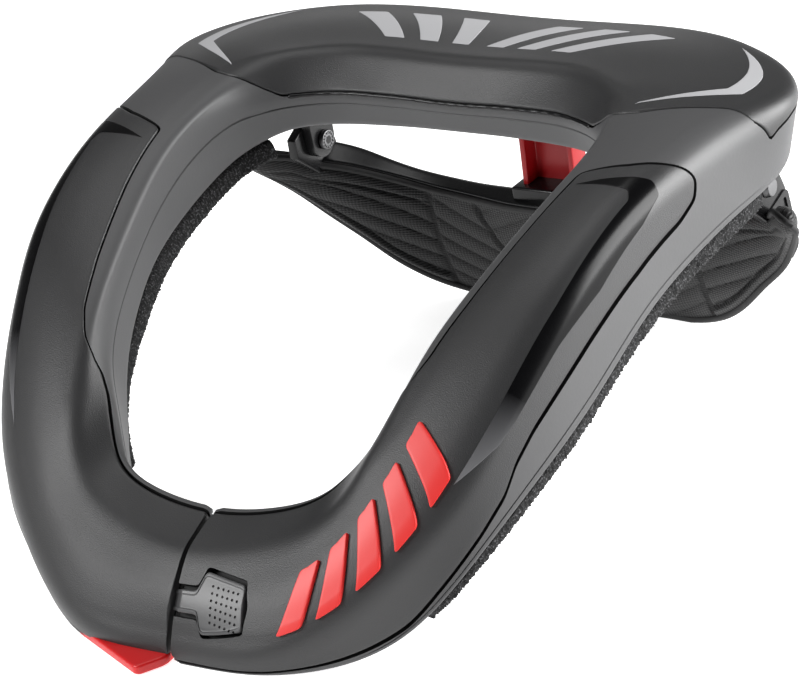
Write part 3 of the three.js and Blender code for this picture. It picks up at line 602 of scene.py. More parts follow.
def feltMaterial():
    # loop felt: black and grey fibres mixed, no shine
    material, tree, shader, place = newMaterial("loopFelt", Roughness=1.0)
    speck = roughGrain(tree, shader, place, grain=0.9, depth=0.5, detail=5.0)
    ramp = addNode(tree, "ShaderNodeValToRGB", {"Fac": speck.outputs["Fac"]})
    for stop, position, code in zip(ramp.color_ramp.elements, (0.54, 0.72), ("070708", "5a5a5c")):
        stop.position = position
        stop.color = linearColour(code)
    tree.links.new(ramp.outputs["Color"], shader.inputs["Base Color"])
    shader.inputs["Sheen Weight"].default_value = 0.05
    return material


def meshFabricMaterial():
    # rib knit over foam: fine upright ribs, near black with a dull sheen
    material, tree, shader, place = newMaterial(
        "ribKnitMesh", Base_Color=linearColour("0b0b0c"), Roughness=0.55, Specular_IOR_Level=0.35)
    shader.inputs["Sheen Weight"].default_value = 0.04
    both = addNode(tree, "ShaderNodeMath", operation="ADD")
    waveRun = 0.314  # at this scale a wave repeats once a metre
    for i, (direction, spacing) in enumerate((("X", 1.5 * mm), ("Z", 1.1 * mm))):
        bands = addNode(tree, "ShaderNodeTexWave", {"Vector": place, "Scale": waveRun / spacing},
                        bands_direction=direction)
        tree.links.new(bands.outputs["Fac"], both.inputs[i])
    bump = addNode(tree, "ShaderNodeBump", {"Height": both.outputs["Value"], "Distance": 0.14 * mm})
    tree.links.new(bump.outputs["Normal"], shader.inputs["Normal"])
    return material


def grainedMaterial(name, code, roughness, grain, depth, **more):
    # One plain colour with a faint grain.
    colour = linearColour(code)
    material, tree, shader, place = newMaterial(name, Base_Color=colour, Roughness=roughness, **more)
    roughGrain(tree, shader, place, grain, depth)
    return material


materials = dict(
    shellFoam=shellFoamMaterial(),
    padSkin=padSkinMaterial(),
    glossPrint=glossPrintMaterial(),
    silverPrint=silverPrintMaterial(),
    felt=feltMaterial(),
    # latch rubber: plain satin grey, a little lighter than the pads
    latchRubber=grainedMaterial("latchRubber", "464647", 0.38, 1.0, 0.015),
    # tag rubber: deep saturated red
    redTag=grainedMaterial("redTag", "c50c10", 0.4, 1.0, 0.015),
    # red rubber: soft red with a satin skin
    redRubber=grainedMaterial("redRubber", "da2b28", 0.42, 1.0, 0.015),
    # yoke nylon: black and glossy, with the slight ripple of a moulding
    blackNylon=grainedMaterial("blackNylon", "0e0e0f", 0.26, 9.0, 0.05, Specular_IOR_Level=0.3),
    # spacer nylon: deep red, glossy
    redNylon=grainedMaterial("redNylon", "960c12", 0.3, 9.0, 0.05, Specular_IOR_Level=0.35),
    # painted shade: flat black on the pocket walls, in the small holes and on the bolts' sockets; also the
    # welt's own black
    shadeAndWeltBlack=newMaterial("shadeAndWeltBlack", Base_Color=linearColour("0c0c0d"), Roughness=0.7)[0],
    meshFabric=meshFabricMaterial(),
    # zinc plated bolts
    boltSteel=newMaterial("boltSteel", Base_Color=linearColour("6a6a6b"), Roughness=0.45, Metallic=1.0)[0],
)
print("materials made")

# Prints and bars

# Loops over the edge of a thin printed film, and how far off the pad the film starts
film = dict(distance=np.array([0, 0, 0.12, 0.3]) * mm, height=np.array([0.1, 0.36, 0.42, 0.43]) * mm)
filmFoot = -0.1 * mm
# Left and right are the wearer's, and a right stripe's points are mirrored
leftStripe = dict(
    material="glossPrint", grid=(260, 20), corner=0.7 * mm,
    outer=[(10.08, 2.28), (10.34, 2.95), (10.22, 3.14), (9.67, 3.25), (8.5, 3.32), (7.42, 3.26),
           (6.42, 3.27), (6.08, 3.24), (5.25, 2.99)],
    inner=[(10.08, 2.28), (9.94, 2.84), (9.75, 2.93), (8.67, 2.96), (7.75, 2.99), (6.5, 2.99),
           (5.25, 2.99)],
)
rightStripe = dict(
    material="glossPrint", grid=(260, 20), corner=0.7 * mm,
    outer=[(10.05, 2.28), (10.3, 2.9), (10.2, 3.1), (9.6, 3.2), (8.5, 3.16), (7.5, 3.1), (6.4, 3.0),
           (4.9, 2.8)],
    inner=[(10.05, 2.28), (9.9, 2.78), (9.7, 2.82), (8.6, 2.8), (7.6, 2.78), (6.5, 2.79), (4.9, 2.8)],
)
silverStripe = dict(
    material="silverPrint", grid=(160, 14), corner=0.4 * mm,
    outer=[(12.98, 2.12), (13.4, 2.52), (13.7, 2.74), (14.6, 2.81), (16.1, 2.87)],
    inner=[(12.98, 2.12), (13.6, 2.47), (13.92, 2.64), (14.8, 2.74), (16.1, 2.87)],
)


def withFade(piece, edge):
    # Marks how far along its stripe each point lies, for the grey towards the far tip.
    fade = piece.data.attributes.new("fade", "FLOAT", "POINT")
    start, end = (Vector(point) for point in skinAt(edge[[0, -1], 0], edge[[0, -1], 1]))
    run = end - start
    for mark, vertex in zip(fade.data, piece.data.vertices):
        mark.value = (vertex.co - start).dot(run) / run.length_squared


def buildStripes():
    for name, stripe in (("stripe_left", leftStripe), ("stripe_right", rightStripe),
                         ("silver_stripe_left", silverStripe), ("silver_stripe_right", silverStripe)):
        lines = [stripe["inner"], stripe["outer"]]
        if name.endswith("right"):
            lines = [mirrorLine(line) for line in lines]
        edges = [easedLine(line, stripe["corner"], 0.4 * mm) for line in lines]
        piece = spineBody(name, materials[stripe["material"]], edges, stripe["grid"], (0.03, 0.03), film,
                          filmFoot)
        if stripe["material"] == "glossPrint":
            withFade(piece, edges[0])
        shown(piece, "pad_skin")


def slantedCorners(run, index):
    # Corners of one bar of a row of slanted bars, its upper two first.
    start = run["first"] + index * run["pitch"]
    return [(start + run["slant"], run["top"]), (start + run["slant"] + run["width"], run["top"]),
            (start + run["width"], run["bottom"]), (start, run["bottom"])]


def barBody(name, material, corners, rim, depth, corner, size=(90, 22)):
    # A slanted bar with rounded corners, from the middle of its upper end to that of its lower.
    upper = np.mean(corners[:2], axis=0)
    lower = np.mean(corners[2:], axis=0)
    sides = ([upper, corners[0], corners[3], lower], [upper, corners[1], corners[2], lower])
    edges = [easedLine(side, corner, 0.25 * mm) for side in sides]
    return spineBody(name, material, edges, size, (0.16, 0.16), rim, depth)


# Rows of bars, in stations along the ring and in shares round the section
redBars = dict(
    first=1.85, pitch=0.74, width=0.46, slant=0.34, top=2.36, bottom=2.92, count=5,
    height=1.6 * mm, edge=0.55 * mm, corner=0.9 * mm,
)
silverBars = dict(
    first=16.95, pitch=0.92, width=0.5, slant=0.42, top=2.22, bottom=2.7, count=3,
    corner=0.3 * mm, grid=(70, 16),
)


def buildBars():
    rim = roundedRim(redBars["edge"], padOutline["proud"] + redBars["height"], 0, 6)
    for i in range(redBars["count"]):
        corners = slantedCorners(redBars, i)
        bar = barBody(f"bar_{i + 1}", materials["redRubber"], corners, rim, 0, redBars["corner"])
        shown(bar, "red_rubber", f"red_bar_{i + 1}")
    for i in range(silverBars["count"]):
        corners = slantedCorners(silverBars, i)
        for side, ends in (("left", corners), ("right", mirrorLine(corners))):
            bar = barBody(f"silver_bar_{side}_{i + 1}", materials["silverPrint"], ends, film, filmFoot,
                          silverBars["corner"], silverBars["grid"])
            shown(bar, "pad_skin")


# Glossy folded lip below the back pad

# The pad's skin is tucked in along it, so it wavers a little
rearLip = dict(front=13.9, around=1.0, radius=0.9 * mm, sink=0.35 * mm, closing=0.01,
               waver=0.12 * mm, wavesPerStation=(9, 3.7))


def buildRearLip():
    def place(u, v):
        station = rearLip["front"] + u * (fullTurn - 2 * rearLip["front"])
        around = np.full(len(u), rearLip["around"])
        step = 0.05
        normal = skinNormal(station, around)
        run = unit(skinAt(station + step, around) - skinAt(station - step, around))
        side = np.cross(normal, run)
        short, long = (np.sin(station * waves) for waves in rearLip["wavesPerStation"])
        radius = rearLip["radius"] + rearLip["waver"] * short * long
        radius = radius * quarterRound(np.minimum(u, 1 - u) / rearLip["closing"])
        turn = 2 * math.pi * v[:, None]
        rim = radius[:, None] * (normal * np.cos(turn) + side * np.sin(turn))
        return skinAt(station, around) - normal * rearLip["sink"] + rim

    lip = finishMesh(wrappedGrid(400, 14, place), "rear_lip", materials["blackNylon"], smoothAngle=180)
    shown(lip, "pad_skin")


# Latch tongue, with a raised border and a field of small holes

latch = dict(
    inner=[(-0.12, 2.515), (-0.12, 2.39), (0.34, 2.39), (0.42, 2.17), (1.08, 2.33), (1.125, 2.55)],
    outer=[(-0.12, 2.515), (-0.12, 2.64), (0.4, 2.64), (0.5, 2.89), (1.17, 2.78), (1.125, 2.55)],
    top=0.9 * mm, edge=0.7 * mm, border=1.5 * mm, step=0.45 * mm, floor=2.2 * mm, seam=2.0 * mm,
    pocket=3.9 * mm, corner=1.1 * mm, ends=(0.1, 0.2), dip=3.2 * mm, dipStart=0.14, dipRun=0.16,
)
# The field's first hole, and how far on the next row and the next column lie
latchField = dict(
    rows=6, columns=6, radius=0.55 * mm, depth=0.5 * mm,
    first=(0.56, 2.33), nextRow=(0.012, 0.075), nextColumn=(0.085, 0.016),
)


def latchEdges():
    return [easedLine(latch[side], latch["corner"], 0.25 * mm) for side in ("inner", "outer")]


def neckLowered(station):
    # The neck dips into the split.
    return -latch["dip"] * softStep((latch["dipStart"] - station) / latch["dipRun"])


def latchPocket():
    rim = pocketRim(latch["pocket"], padOutline["pocketTop"])
    return spineBody("latchPocket", materials["shadeAndWeltBlack"], latchEdges(), (200, 20), latch["ends"], rim,
                     latch["pocket"], grow=latch["seam"])


def latchHoles():
    # One mesh of short pins that stand on the skin. Their black goes on to the holes' walls as painted
    # shade.
    bm = bmesh.new()
    first, nextRow, nextColumn = (np.array(latchField[key]) for key in ("first", "nextRow", "nextColumn"))
    for row in range(latchField["rows"]):
        for column in range(latchField["columns"]):
            spot = (first + row * nextRow + column * nextColumn)[:, None]
            at = Vector(overSkin(*spot, latch["top"] - latch["step"])[0])
            turn = Vector(skinNormal(*spot)[0]).to_track_quat("Z", "Y").to_matrix().to_4x4()
            bmesh.ops.create_cone(
                bm, cap_ends=True, segments=12, radius1=latchField["radius"], radius2=latchField["radius"],
                depth=2 * latchField["depth"], matrix=Matrix.Translation(at) @ turn)
    return finishMesh(bm, "latchHoles", materials["shadeAndWeltBlack"], merge=0)


def buildLatch():
    top, border, step = latch["top"], latch["border"], latch["step"]
    rim = roundedRim(latch["edge"], top, latch["floor"], 5)
    rim["distance"] = np.append(rim["distance"], [border, border + 0.25 * mm, border + 0.6 * mm])
    rim["height"] = np.append(rim["height"], [top, top - 0.8 * step, top - step])
    piece = spineBody("latch_tongue_skin", materials["latchRubber"], latchEdges(), (240, 48),
                      latch["ends"], rim, latch["floor"], lowered=neckLowered)
    cutAway(piece, [latchHoles()], 50)
    shown(piece, "latch_rubber", "latch_tongue")


# Pull tab, a thick rubber tag

# Its corners are in millimetres. They are rounded in plan, and its edges are rolled.
tab = dict(
    corners=[(-52, -154), (-7.5, -174), (-0.5, -163), (-2, -148), (-38, -138)],
    bottom=0.1 * mm, thickness=4.2 * mm, corner=2.6 * mm, edge=1.1 * mm,
)


def drawnBody(bm, outline, run):
    # A body drawn from an outline along a run.
    grown = bmesh.ops.extrude_face_region(bm, geom=[bm.faces.new([bm.verts.new(at) for at in outline])])
    moved = [v for v in grown["geom"] if isinstance(v, bmesh.types.BMVert)]
    bmesh.ops.translate(bm, vec=run, verts=moved)


def bevelEdges(bm, edges, offset, segments, **more):
    bmesh.ops.bevel(bm, geom=edges, offset=offset, segments=segments, affect="EDGES", profile=0.5,
                    material=-1, **more)


def climb(edge):
    return abs(edge.verts[0].co.z - edge.verts[1].co.z)


def buildTab():
    bm = bmesh.new()
    outline = [(x * mm, y * mm, tab["bottom"]) for x, y in tab["corners"]]
    drawnBody(bm, outline, (0, 0, tab["thickness"]))
    bevelEdges(bm, [e for e in bm.edges if climb(e) > mm], tab["corner"], 8)
    bevelEdges(bm, [e for e in bm.edges if climb(e) < weld], tab["edge"], 5)
    shown(finishMesh(bm, "tab_tag", materials["redTag"]), "red_rubber", "pull_tab")


# Yoke frame and its ears

# The section's four edges at shares outward from the middle, each as shares back and up. The pad's
# tips carry two of the edges on past the frame's ends.
yokeEdges = dict(
    across=[0, .13, .26, .39, .487, .584, .669, .765],
    frontTop=[(.886, .407), (.895, .4), (.908, .4), (.917, .403), (.919, .417), (.909, .445),
              (.892, .477), (.871, .5)],
    rearTop=[(.923, .427), (.929, .425), (.935, .42), (.943, .423), (.945, .433), (.942, .46),
             (.935, .498), (.917, .53)],
    rearBottom=[(.994, .034), (.997, .034), (.997, .036), (.991, .056), (.975, .09), (.957, .167),
                (.945, .26), (.931, .347)],
    frontBottom=[(.966, 0), (.969, 0), (.969, .001), (.963, .018), (.945, .06), (.923, .135),
                 (.908, .225), (.893, .307)],
)
padTips = dict(
    across=[.8, .845, .885],
    frontTop=[(.856, .52), (.823, .547), (.807, .543)],
    frontBottom=[(.88, .36), (.86, .435), (.83, .49)],
)
yoke = dict(
    wall=2.6 * mm, lip=0.6, ease=0.07, end=yokeEdges["across"][-1],
    rounds=[1.0 * mm, 4 * mm, 4 * mm, 0.9 * mm, 0.9 * mm, 2 * mm, 2 * mm, 1.0 * mm],
)


def yokeLine(edge, across, table=yokeEdges):
    # Points of one edge of the yoke at shares across, eased along the table's stations.
    stations = np.array(table["across"])
    places = np.array(table[edge])
    offsets = np.linspace(-1, 1, 9)
    weights = np.exp(-2 * offsets ** 2)
    weights /= weights.sum()
    at = sum(w * np.stack([np.interp(np.abs(across + o * yoke["ease"]), stations, places[:, k])
                           for k in (0, 1)], axis=1) for w, o in zip(weights, offsets))
    return np.stack([across * collar["width"] / 2, at[:, 0] * collar["length"],
                     at[:, 1] * collar["height"]], axis=1) + np.array(shift)


def channelCorners(across):
    # Corners of the frame's channel, round its outside and back along its inside. Its lower lip ends
    # part of the way forward.
    frontTop, rearTop, rearBottom, frontBottom = (
        yokeLine(edge, across) for edge in ("frontTop", "rearTop", "rearBottom", "frontBottom"))
    wall = yoke["wall"]
    lipEnd = rearBottom + yoke["lip"] * (frontBottom - rearBottom)
    down = unit(rearBottom - rearTop)
    topForward = unit(frontTop - rearTop)
    bottomForward = unit(frontBottom - rearBottom)
    return np.stack([
        frontTop, rearTop, rearBottom, lipEnd, lipEnd - down * wall,
        rearBottom - down * wall + bottomForward * wall, rearTop + down * wall + topForward * wall,
        frontTop + down * wall,
    ])


def buildYokeFrame():
    def place(u, v):
        corners = channelCorners((2 * u - 1) * yoke["end"])
        around = aroundRing(v, corners, yoke["rounds"])[0]
        return roundedRing(corners, yoke["rounds"], around)

    bm = wrappedGrid(220, 96, place)
    closeEnds(bm)
    shown(finishMesh(bm, "yoke_channel", materials["blackNylon"]), "black_nylon", "yoke_frame")


# An ear is a disc round the pivot that runs on to the channel's end and forward to the pad
pivot = dict(
    back=pivotBack + shift.y, up=pivotUp + shift.z, earInner=112.6 * mm, earRadius=11 * mm,
    earThickness=4.5 * mm, earEdge=0.8 * mm, reach=15 * mm, reachRise=(-4 * mm, 5 * mm),
)


def discAcross(bm, x, depth, radius, segments=56, cone=1.0):
    # A disc on the pivots' axis, from x outwards by its depth.
    place = Matrix.Translation((x + depth / 2, pivot["back"], pivot["up"]))
    turn = Matrix.Rotation(math.copysign(math.pi / 2, depth), 4, "Y")
    bmesh.ops.create_cone(bm, cap_ends=True, segments=segments, radius1=radius, radius2=radius * cone,
                          depth=abs(depth), matrix=place @ turn)


def rollEdges(bm, offset, angle=50):
    sharp = [e for e in bm.edges if e.is_manifold and e.calc_face_angle() > math.radians(angle)]
    bevelEdges(bm, sharp, offset, 4, clamp_overlap=True)


def buildEars():
    for name, side in (("ear_left", 1), ("ear_right", -1)):
        bm = bmesh.new()
        inner = side * pivot["earInner"]
        depth = side * pivot["earThickness"]
        discAcross(bm, inner, depth, pivot["earRadius"])
        end = channelCorners(np.array([side * yoke["end"]]))[:3, 0]
        ahead = [(0, pivot["back"] - pivot["reach"], pivot["up"] + rise) for rise in pivot["reachRise"]]
        for x in (inner, inner + depth):
            for _, back, up in [*end, *ahead]:
                bm.verts.new((x, back, up))
        bmesh.ops.delete(bm, geom=list(bm.faces), context="FACES_ONLY")
        bmesh.ops.delete(bm, geom=list(bm.edges), context="EDGES_FACES")
        bmesh.ops.convex_hull(bm, input=bm.verts)
        bmesh.ops.delete(bm, geom=[v for v in bm.verts if not v.link_faces], context="VERTS")
        bmesh.ops.dissolve_limit(bm, angle_limit=math.radians(1), verts=bm.verts, edges=bm.edges)
        rollEdges(bm, pivot["earEdge"], 60)
        shown(finishMesh(bm, name, materials["blackNylon"]), "black_nylon")


# Spacer between the yoke and the back plate

# A channel open to the front that leans back a little, in a foot on the yoke
spacer = dict(
    width=27 * mm, depth=11 * mm, wall=2.6 * mm, front=0.912, lean=0.012, bottom=62.5 * mm,
    top=117 * mm, edge=0.6 * mm, footWall=4 * mm, footBottom=0.405, footTop=0.448, footEdge=1.2 * mm,
)


def buildSpacer():
    half, depth, wall = spacer["width"] / 2, spacer["depth"], spacer["wall"]
    front = spacer["front"] * collar["length"] + shift.y
    section = [
        (-half, 0), (-half + wall, 0), (-half + wall, depth - wall), (half - wall, depth - wall),
        (half - wall, 0), (half, 0), (half, depth), (-half, depth),
    ]
    bm = bmesh.new()
    outline = [(x, front + y, spacer["bottom"] + shift.z) for x, y in section]
    drawnBody(bm, outline, (0, spacer["lean"] * collar["length"], spacer["top"] - spacer["bottom"]))
    rollEdges(bm, spacer["edge"])
    shown(finishMesh(bm, "spacer_channel", materials["redNylon"]), "red_nylon", "yoke_spacer")
    bm = bmesh.new()
    low, high = spacer["footBottom"] * collar["height"], spacer["footTop"] * collar["height"]
    size = (spacer["width"] + 2 * spacer["footWall"], depth + 2 * spacer["footWall"], high - low)
    middle = (0, front + depth / 2, (low + high) / 2 + shift.z)
    bmesh.ops.create_cube(bm, size=1, matrix=Matrix.Translation(middle) @ Matrix.Diagonal((*size, 1)))
    rollEdges(bm, spacer["footEdge"])
    shown(finishMesh(bm, "spacer_foot", materials["blackNylon"]), "black_nylon")


# Yoke pad

yokePad = dict(
    tip=0.895, tipRun=0.055, frameEnd=0.8, frameRun=0.035, rise=4 * mm, depth=8 * mm, frontShare=0.84,
    welt=1.5 * mm, weltForward=0.6 * mm, weltEnd=0.995, weltLift=0.1 * mm,
)
# The quilted front has two ribbed panels a side, and an outer lobe with ribs and a rolled rim
quilt = dict(
    height=58 * mm, divideTop=42 * mm, divideLean=24 * mm, slope=0.42, pitch=10.5 * mm, relief=1.3 * mm,
    lobe=67 * mm, lobeSlope=0.47, lobePitch=9 * mm, lobeRelief=1.8 * mm, lobeWide=34 * mm,
    rim=7 * mm, rimRise=1.3 * mm, rimGroove=1.5 * mm, channel=2 * mm, channelWidth=1.3 * mm, edge=0.1,
)


def cushion(phase, depth):
    # Rounded ribs that meet in sharp valleys.
    return depth * (np.abs(np.sin(np.pi * phase)) ** 0.5 - 1)


def quilting(across, up, share, height):
    # Relief of the pad's front at places across and up, and at shares down the front's height there.
    x = np.abs(across)
    down = share * quilt["height"]
    divide = quilt["divideTop"] - quilt["divideLean"] * share
    middle = cushion((down + quilt["slope"] * x) / quilt["pitch"], quilt["relief"])
    centre = cushion((down - quilt["slope"] * x) / quilt["pitch"], quilt["relief"])
    fromRim = np.minimum(np.minimum(share, 1 - share) * height, yokePad["tip"] * collar["width"] / 2 - x)
    ribs = cushion((up - quilt["lobeSlope"] * x) / quilt["lobePitch"], quilt["lobeRelief"])
    inside = np.clip((fromRim - quilt["rim"]) / (2 * mm), 0, 1)
    roll = quilt["rimRise"] * np.sqrt(np.maximum(1 - (2 * fromRim / quilt["rim"] - 1) ** 2, 0))
    groove = quilt["rimGroove"] * np.exp(-((fromRim - quilt["rim"]) / mm) ** 2)
    wide = np.clip(height / quilt["lobeWide"], 0, 1) ** 2  # the narrow tips stay plain
    lobe = wide * (ribs * inside + roll * (fromRim < quilt["rim"]) - groove)
    relief = np.where(x > quilt["lobe"], lobe, np.where(x > divide, middle, centre))
    for line in (quilt["lobe"], divide):
        gap = np.exp(-((x - line) / quilt["channelWidth"]) ** 2)
        relief = relief * (1 - gap) - quilt["channel"] * gap
    return relief * softStep(np.minimum(share, 1 - share) / quilt["edge"])


allTips = {key: yokeEdges[key] + padTips[key] for key in ("across", "frontTop", "frontBottom")}


def padFace(across):
    # Top and bottom edges of the pad's face, the way forward from it, and how far its ends have filled.
    top = yokeLine("frontTop", across, allTips)
    bottom = yokeLine("frontBottom", across, allTips)
    down = unit(bottom - top)
    inFrame = np.clip((yokePad["frameEnd"] - np.abs(across)) / yokePad["frameRun"], 0, 1)[:, None]
    top = top + down * yoke["wall"] * inFrame
    fill = quarterRound((yokePad["tip"] - np.abs(across)) / yokePad["tipRun"])[:, None]
    middle = (top + bottom) / 2
    forward = np.stack([np.zeros(len(down)), down[:, 2], -down[:, 1]], axis=1)
    return middle + (top - middle) * fill, middle + (bottom - middle) * fill, forward, fill[:, 0]


def tubeAlong(name, points, radius, material, sides=12):
    # A round cord of cloth along a closed row of points. Its sides start from a way that it never runs.
    run = unit(np.roll(points, -1, axis=0) - np.roll(points, 1, axis=0))
    side = unit(np.cross(run, np.array([0, 0.35, 0.94])))
    up = np.cross(side, run)

    def place(u, v):
        index = np.round(u * len(points)).astype(int) % len(points)
        turn = 2 * math.pi * v[:, None]
        return points[index] + radius * (side[index] * np.cos(turn) + up[index] * np.sin(turn))

    return finishMesh(wrappedGrid(len(points), sides, place), name, material, merge=1e-6)


def buildYokePad():
    frontShare = yokePad["frontShare"]

    def place(u, v):
        # Down the quilted front first, then up the plain back
        top, bottom, forward, fill = padFace((2 * u - 1) * yokePad["tip"])
        drop = bottom - top
        share = np.clip(v / frontShare, 0, 1)
        relief = quilting(top[:, 0], top[:, 2] + drop[:, 2] * share, share, np.linalg.norm(drop, axis=1))
        bulge = np.sin(np.pi * share) ** 0.6 * yokePad["rise"] + relief
        behind = np.clip((v - frontShare) / (1 - frontShare), 0, 1)
        share = np.where(v > frontShare, 1 - behind, share)
        depth = np.sin(np.pi * behind) ** 0.35 * yokePad["depth"]
        height = np.where(v > frontShare, -depth, bulge) * fill
        return top + drop * share[:, None] + forward * height[:, None]

    pad = finishMesh(wrappedGrid(420, 140, place), "yoke_cushion", materials["meshFabric"], smoothAngle=60)
    shown(pad, "mesh_fabric", "yoke_pad")
    reach = yokePad["weltEnd"]
    top, bottom, forward = padFace(np.linspace(-reach, reach, 200) * yokePad["tip"])[:3]
    outline = np.concatenate([top, bottom[::-1]]) + np.tile(forward, (2, 1)) * yokePad["weltForward"]
    outline[:, 2] = np.maximum(outline[:, 2], yokePad["welt"] + yokePad["weltLift"])  # clear of the floor
    shown(tubeAlong("yoke_welt", outline, yokePad["welt"], materials["shadeAndWeltBlack"]), "mesh_fabric")


# Felt strips below the arms

felt = dict(
    front=4.2, back=13.3, closing=0.012, middle=4.5, halfWidth=0.44, gap=0.6 * mm, thickness=7.2 * mm,
    deeper=3.6 * mm, deepFrom=5.0, deepRun=3.0, wallLength=45 * mm,
    columns=480, rows=56, fuzz=0.2 * mm, seed=7,
)


def squared(wave, power):
    # A wave made squarer, for the section of a strip.
    return np.sign(wave) * np.abs(wave) ** power


def buildFelt():
    columns, rows = felt["columns"], felt["rows"]
    lift = np.random.default_rng(felt["seed"]).normal(0, felt["fuzz"], (columns + 1, rows))

    def place(u, v, side):
        turn = 2 * math.pi * v
        close = quarterRound(np.minimum(u, 1 - u) / felt["closing"])
        level = squared(np.sin(turn), 0.45) * close
        station = felt["front"] + u * (felt["back"] - felt["front"])
        deep = softStep((station - felt["deepFrom"]) / felt["deepRun"])
        thickness = felt["thickness"] + felt["deeper"] * deep
        fuzz = lift[np.round(u * columns).astype(int), np.round(v * rows).astype(int) % rows] * close
        around = felt["middle"] + felt["halfWidth"] * close * squared(np.cos(turn), 0.3)
        around = around + fuzz / felt["wallLength"] * np.sign(np.cos(turn))
        height = felt["gap"] + thickness / 2 * (1 + level) + fuzz * level
        return overSkin(station if side > 0 else fullTurn - station, around, height)

    for name, side in (("felt_left", 1), ("felt_right", -1)):
        bm = wrappedGrid(columns, rows, lambda u, v: place(u, v, side))
        strip = finishMesh(bm, name + "_loops", materials["felt"], smoothAngle=180)
        shown(strip, "felt", name)


# Pivot bolts and lugs

# A bolt has a domed head outside the ear, and inside it a flat head with a beaded ring. Its hexagon
# socket is a thin black hexagon standing on the head, painted shade and not a recess
bolt = dict(
    lug=5.1 * mm, gap=0.3 * mm, shank=2.4 * mm, edge=0.35 * mm,
    dome=2.6 * mm, domeRadius=4.7 * mm, domeTop=0.8, head=2.2 * mm, headRadius=4.4 * mm,
    beads=14, bead=0.55 * mm, beadRing=3.3 * mm,
    socketShade=1.9 * mm, socketShadeLift=0.05 * mm, socketShadeDepth=0.12 * mm,
)


def buildBolts():
    for name, side in (("left", 1), ("right", -1)):
        outer = side * (pivot["earInner"] + pivot["earThickness"] + bolt["gap"])
        inner = side * (pivot["earInner"] - bolt["lug"])
        bm = bmesh.new()
        discAcross(bm, inner, outer - inner, bolt["shank"], 32)
        discAcross(bm, outer, side * bolt["dome"], bolt["domeRadius"], 48, bolt["domeTop"])
        discAcross(bm, inner, -side * bolt["head"], bolt["headRadius"], 48)
        rollEdges(bm, bolt["edge"], 30)
        face = inner - side * bolt["head"]
        for i in range(bolt["beads"]):
            angle = 2 * math.pi * i / bolt["beads"]
            centre = Vector((face, pivot["back"] + bolt["beadRing"] * math.cos(angle),
                             pivot["up"] + bolt["beadRing"] * math.sin(angle)))
            bmesh.ops.create_uvsphere(bm, u_segments=10, v_segments=7, radius=bolt["bead"],
                                      matrix=Matrix.Translation(centre))
        turned = finishMesh(bm, f"bolt_{name}_turned", materials["boltSteel"], merge=0)
        shown(turned, "bolt_steel", f"pivot_bolt_{name}")
        bm = bmesh.new()
        # a thin black hexagon just off the head's face, painted shade for the socket
        discAcross(bm, face - side * bolt["socketShadeLift"], -side * bolt["socketShadeDepth"], bolt["socketShade"], 6)
        shown(finishMesh(bm, f"bolt_{name}_socket", materials["shadeAndWeltBlack"], merge=0), "bolt_steel")


def paintLugs():
    # The lugs are the part's own nodes, and only their material is changed.
    for name in ("pivot_lug_left", "pivot_lug_right"):
        nodes[name].data.materials.clear()
        nodes[name].data.materials.append(materials["blackNylon"])


paintLugs()
buildCollar(materials)
buildStripes()
buildBars()
print("prints and bars built")
buildRearLip()
buildLatch()
buildTab()
buildYokeFrame()
buildEars()
buildSpacer()
buildYokePad()
print("yoke built")
buildFelt()
buildBolts()
print("all pieces built")

# Camera, lights and stage

# The photograph's own place, aim and roll in degrees, worked out from the object's symmetry
camera = dict(place=(0.91714, -1.16572, 0.75081), target=(0.01274, 0, 0.06204), roll=-10.1715,
              lens=180, sensor=36, near=0.05, far=20)


def aimed(place, target, roll=0):
    # Stands at a place and looks at a target.
    turn = (Vector(target) - Vector(place)).to_track_quat("-Z", "Y").to_matrix().to_4x4()
    return Matrix.Translation(place) @ turn @ Matrix.Rotation(math.radians(roll), 4, "Z")


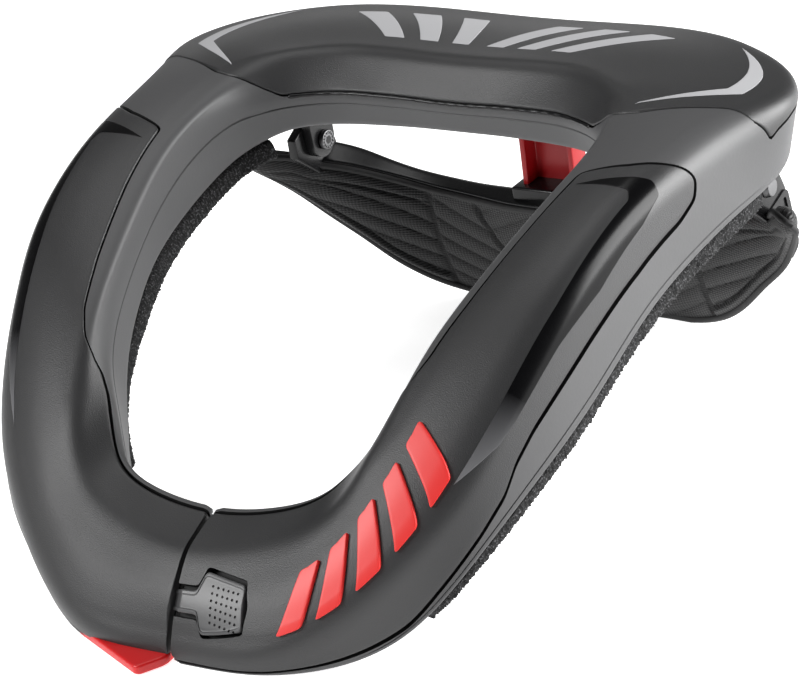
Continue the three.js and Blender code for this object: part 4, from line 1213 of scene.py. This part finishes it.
def addCamera():
    data = bpy.data.cameras.new("camera")
    data.lens = camera["lens"]
    data.sensor_width = camera["sensor"]
    data.sensor_fit = "HORIZONTAL"
    data.clip_start = camera["near"]
    data.clip_end = camera["far"]
    view = bpy.data.objects.new("camera", data)
    bpy.context.scene.collection.objects.link(view)
    view.matrix_world = aimed(camera["place"], camera["target"], camera["roll"])
    bpy.context.scene.camera = view


# A large box to the right gives the long highlights, and the others fill
softboxes = [
    dict(name="rightBox", place=(1.2, 0.8, 0.4), target=(0, 0.02, 0.09), size=(1.0, 0.9), watts=52),
    dict(name="rearLeftBox", place=(-0.9, 1.25, 0.34), target=(0, 0, 0.1), size=(0.8, 0.35), watts=0.8),
    dict(name="topBox", place=(-0.35, 0.3, 1.4), target=(0, 0, 0.1), size=(0.9, 0.7), watts=5.5),
    dict(name="frontFill", place=(-0.75, -1.2, 1.0), target=(0, 0, 0.08), size=(0.8, 0.6), watts=23),
]


def addSoftboxes():
    for box in softboxes:
        data = bpy.data.lights.new(box["name"], "AREA")
        data.shape = "RECTANGLE"
        data.size, data.size_y = box["size"]
        data.energy = box["watts"]
        light = bpy.data.objects.new(box["name"], data)
        bpy.context.scene.collection.objects.link(light)
        light.matrix_world = aimed(box["place"], box["target"])


# A pale floor that glows a little, so that it stays near white, in an even white room
stage = dict(floorSize=6, floorColour="f4f4f4", floorGlow=0.75, room=0.13)


def addStage():
    bm = bmesh.new()
    bmesh.ops.create_grid(bm, x_segments=1, y_segments=1, size=stage["floorSize"])
    mesh = bpy.data.meshes.new("floor")
    bm.to_mesh(mesh)
    bm.free()
    floor = bpy.data.objects.new("floor", mesh)
    bpy.context.scene.collection.objects.link(floor)
    material = newMaterial(
        "paleSweep", Base_Color=linearColour(stage["floorColour"]), Roughness=0.95,
        Emission_Color=(1, 1, 1, 1), Emission_Strength=stage["floorGlow"])[0]
    mesh.materials.append(material)
    world = bpy.data.worlds.new("studio")
    world.use_nodes = True
    background = world.node_tree.nodes["Background"]
    background.inputs["Color"].default_value = (1, 1, 1, 1)
    background.inputs["Strength"].default_value = stage["room"]
    bpy.context.scene.world = world
    bpy.context.scene.view_settings.view_transform = "Standard"


addCamera()
addStage()
addSoftboxes()
print("stage set")
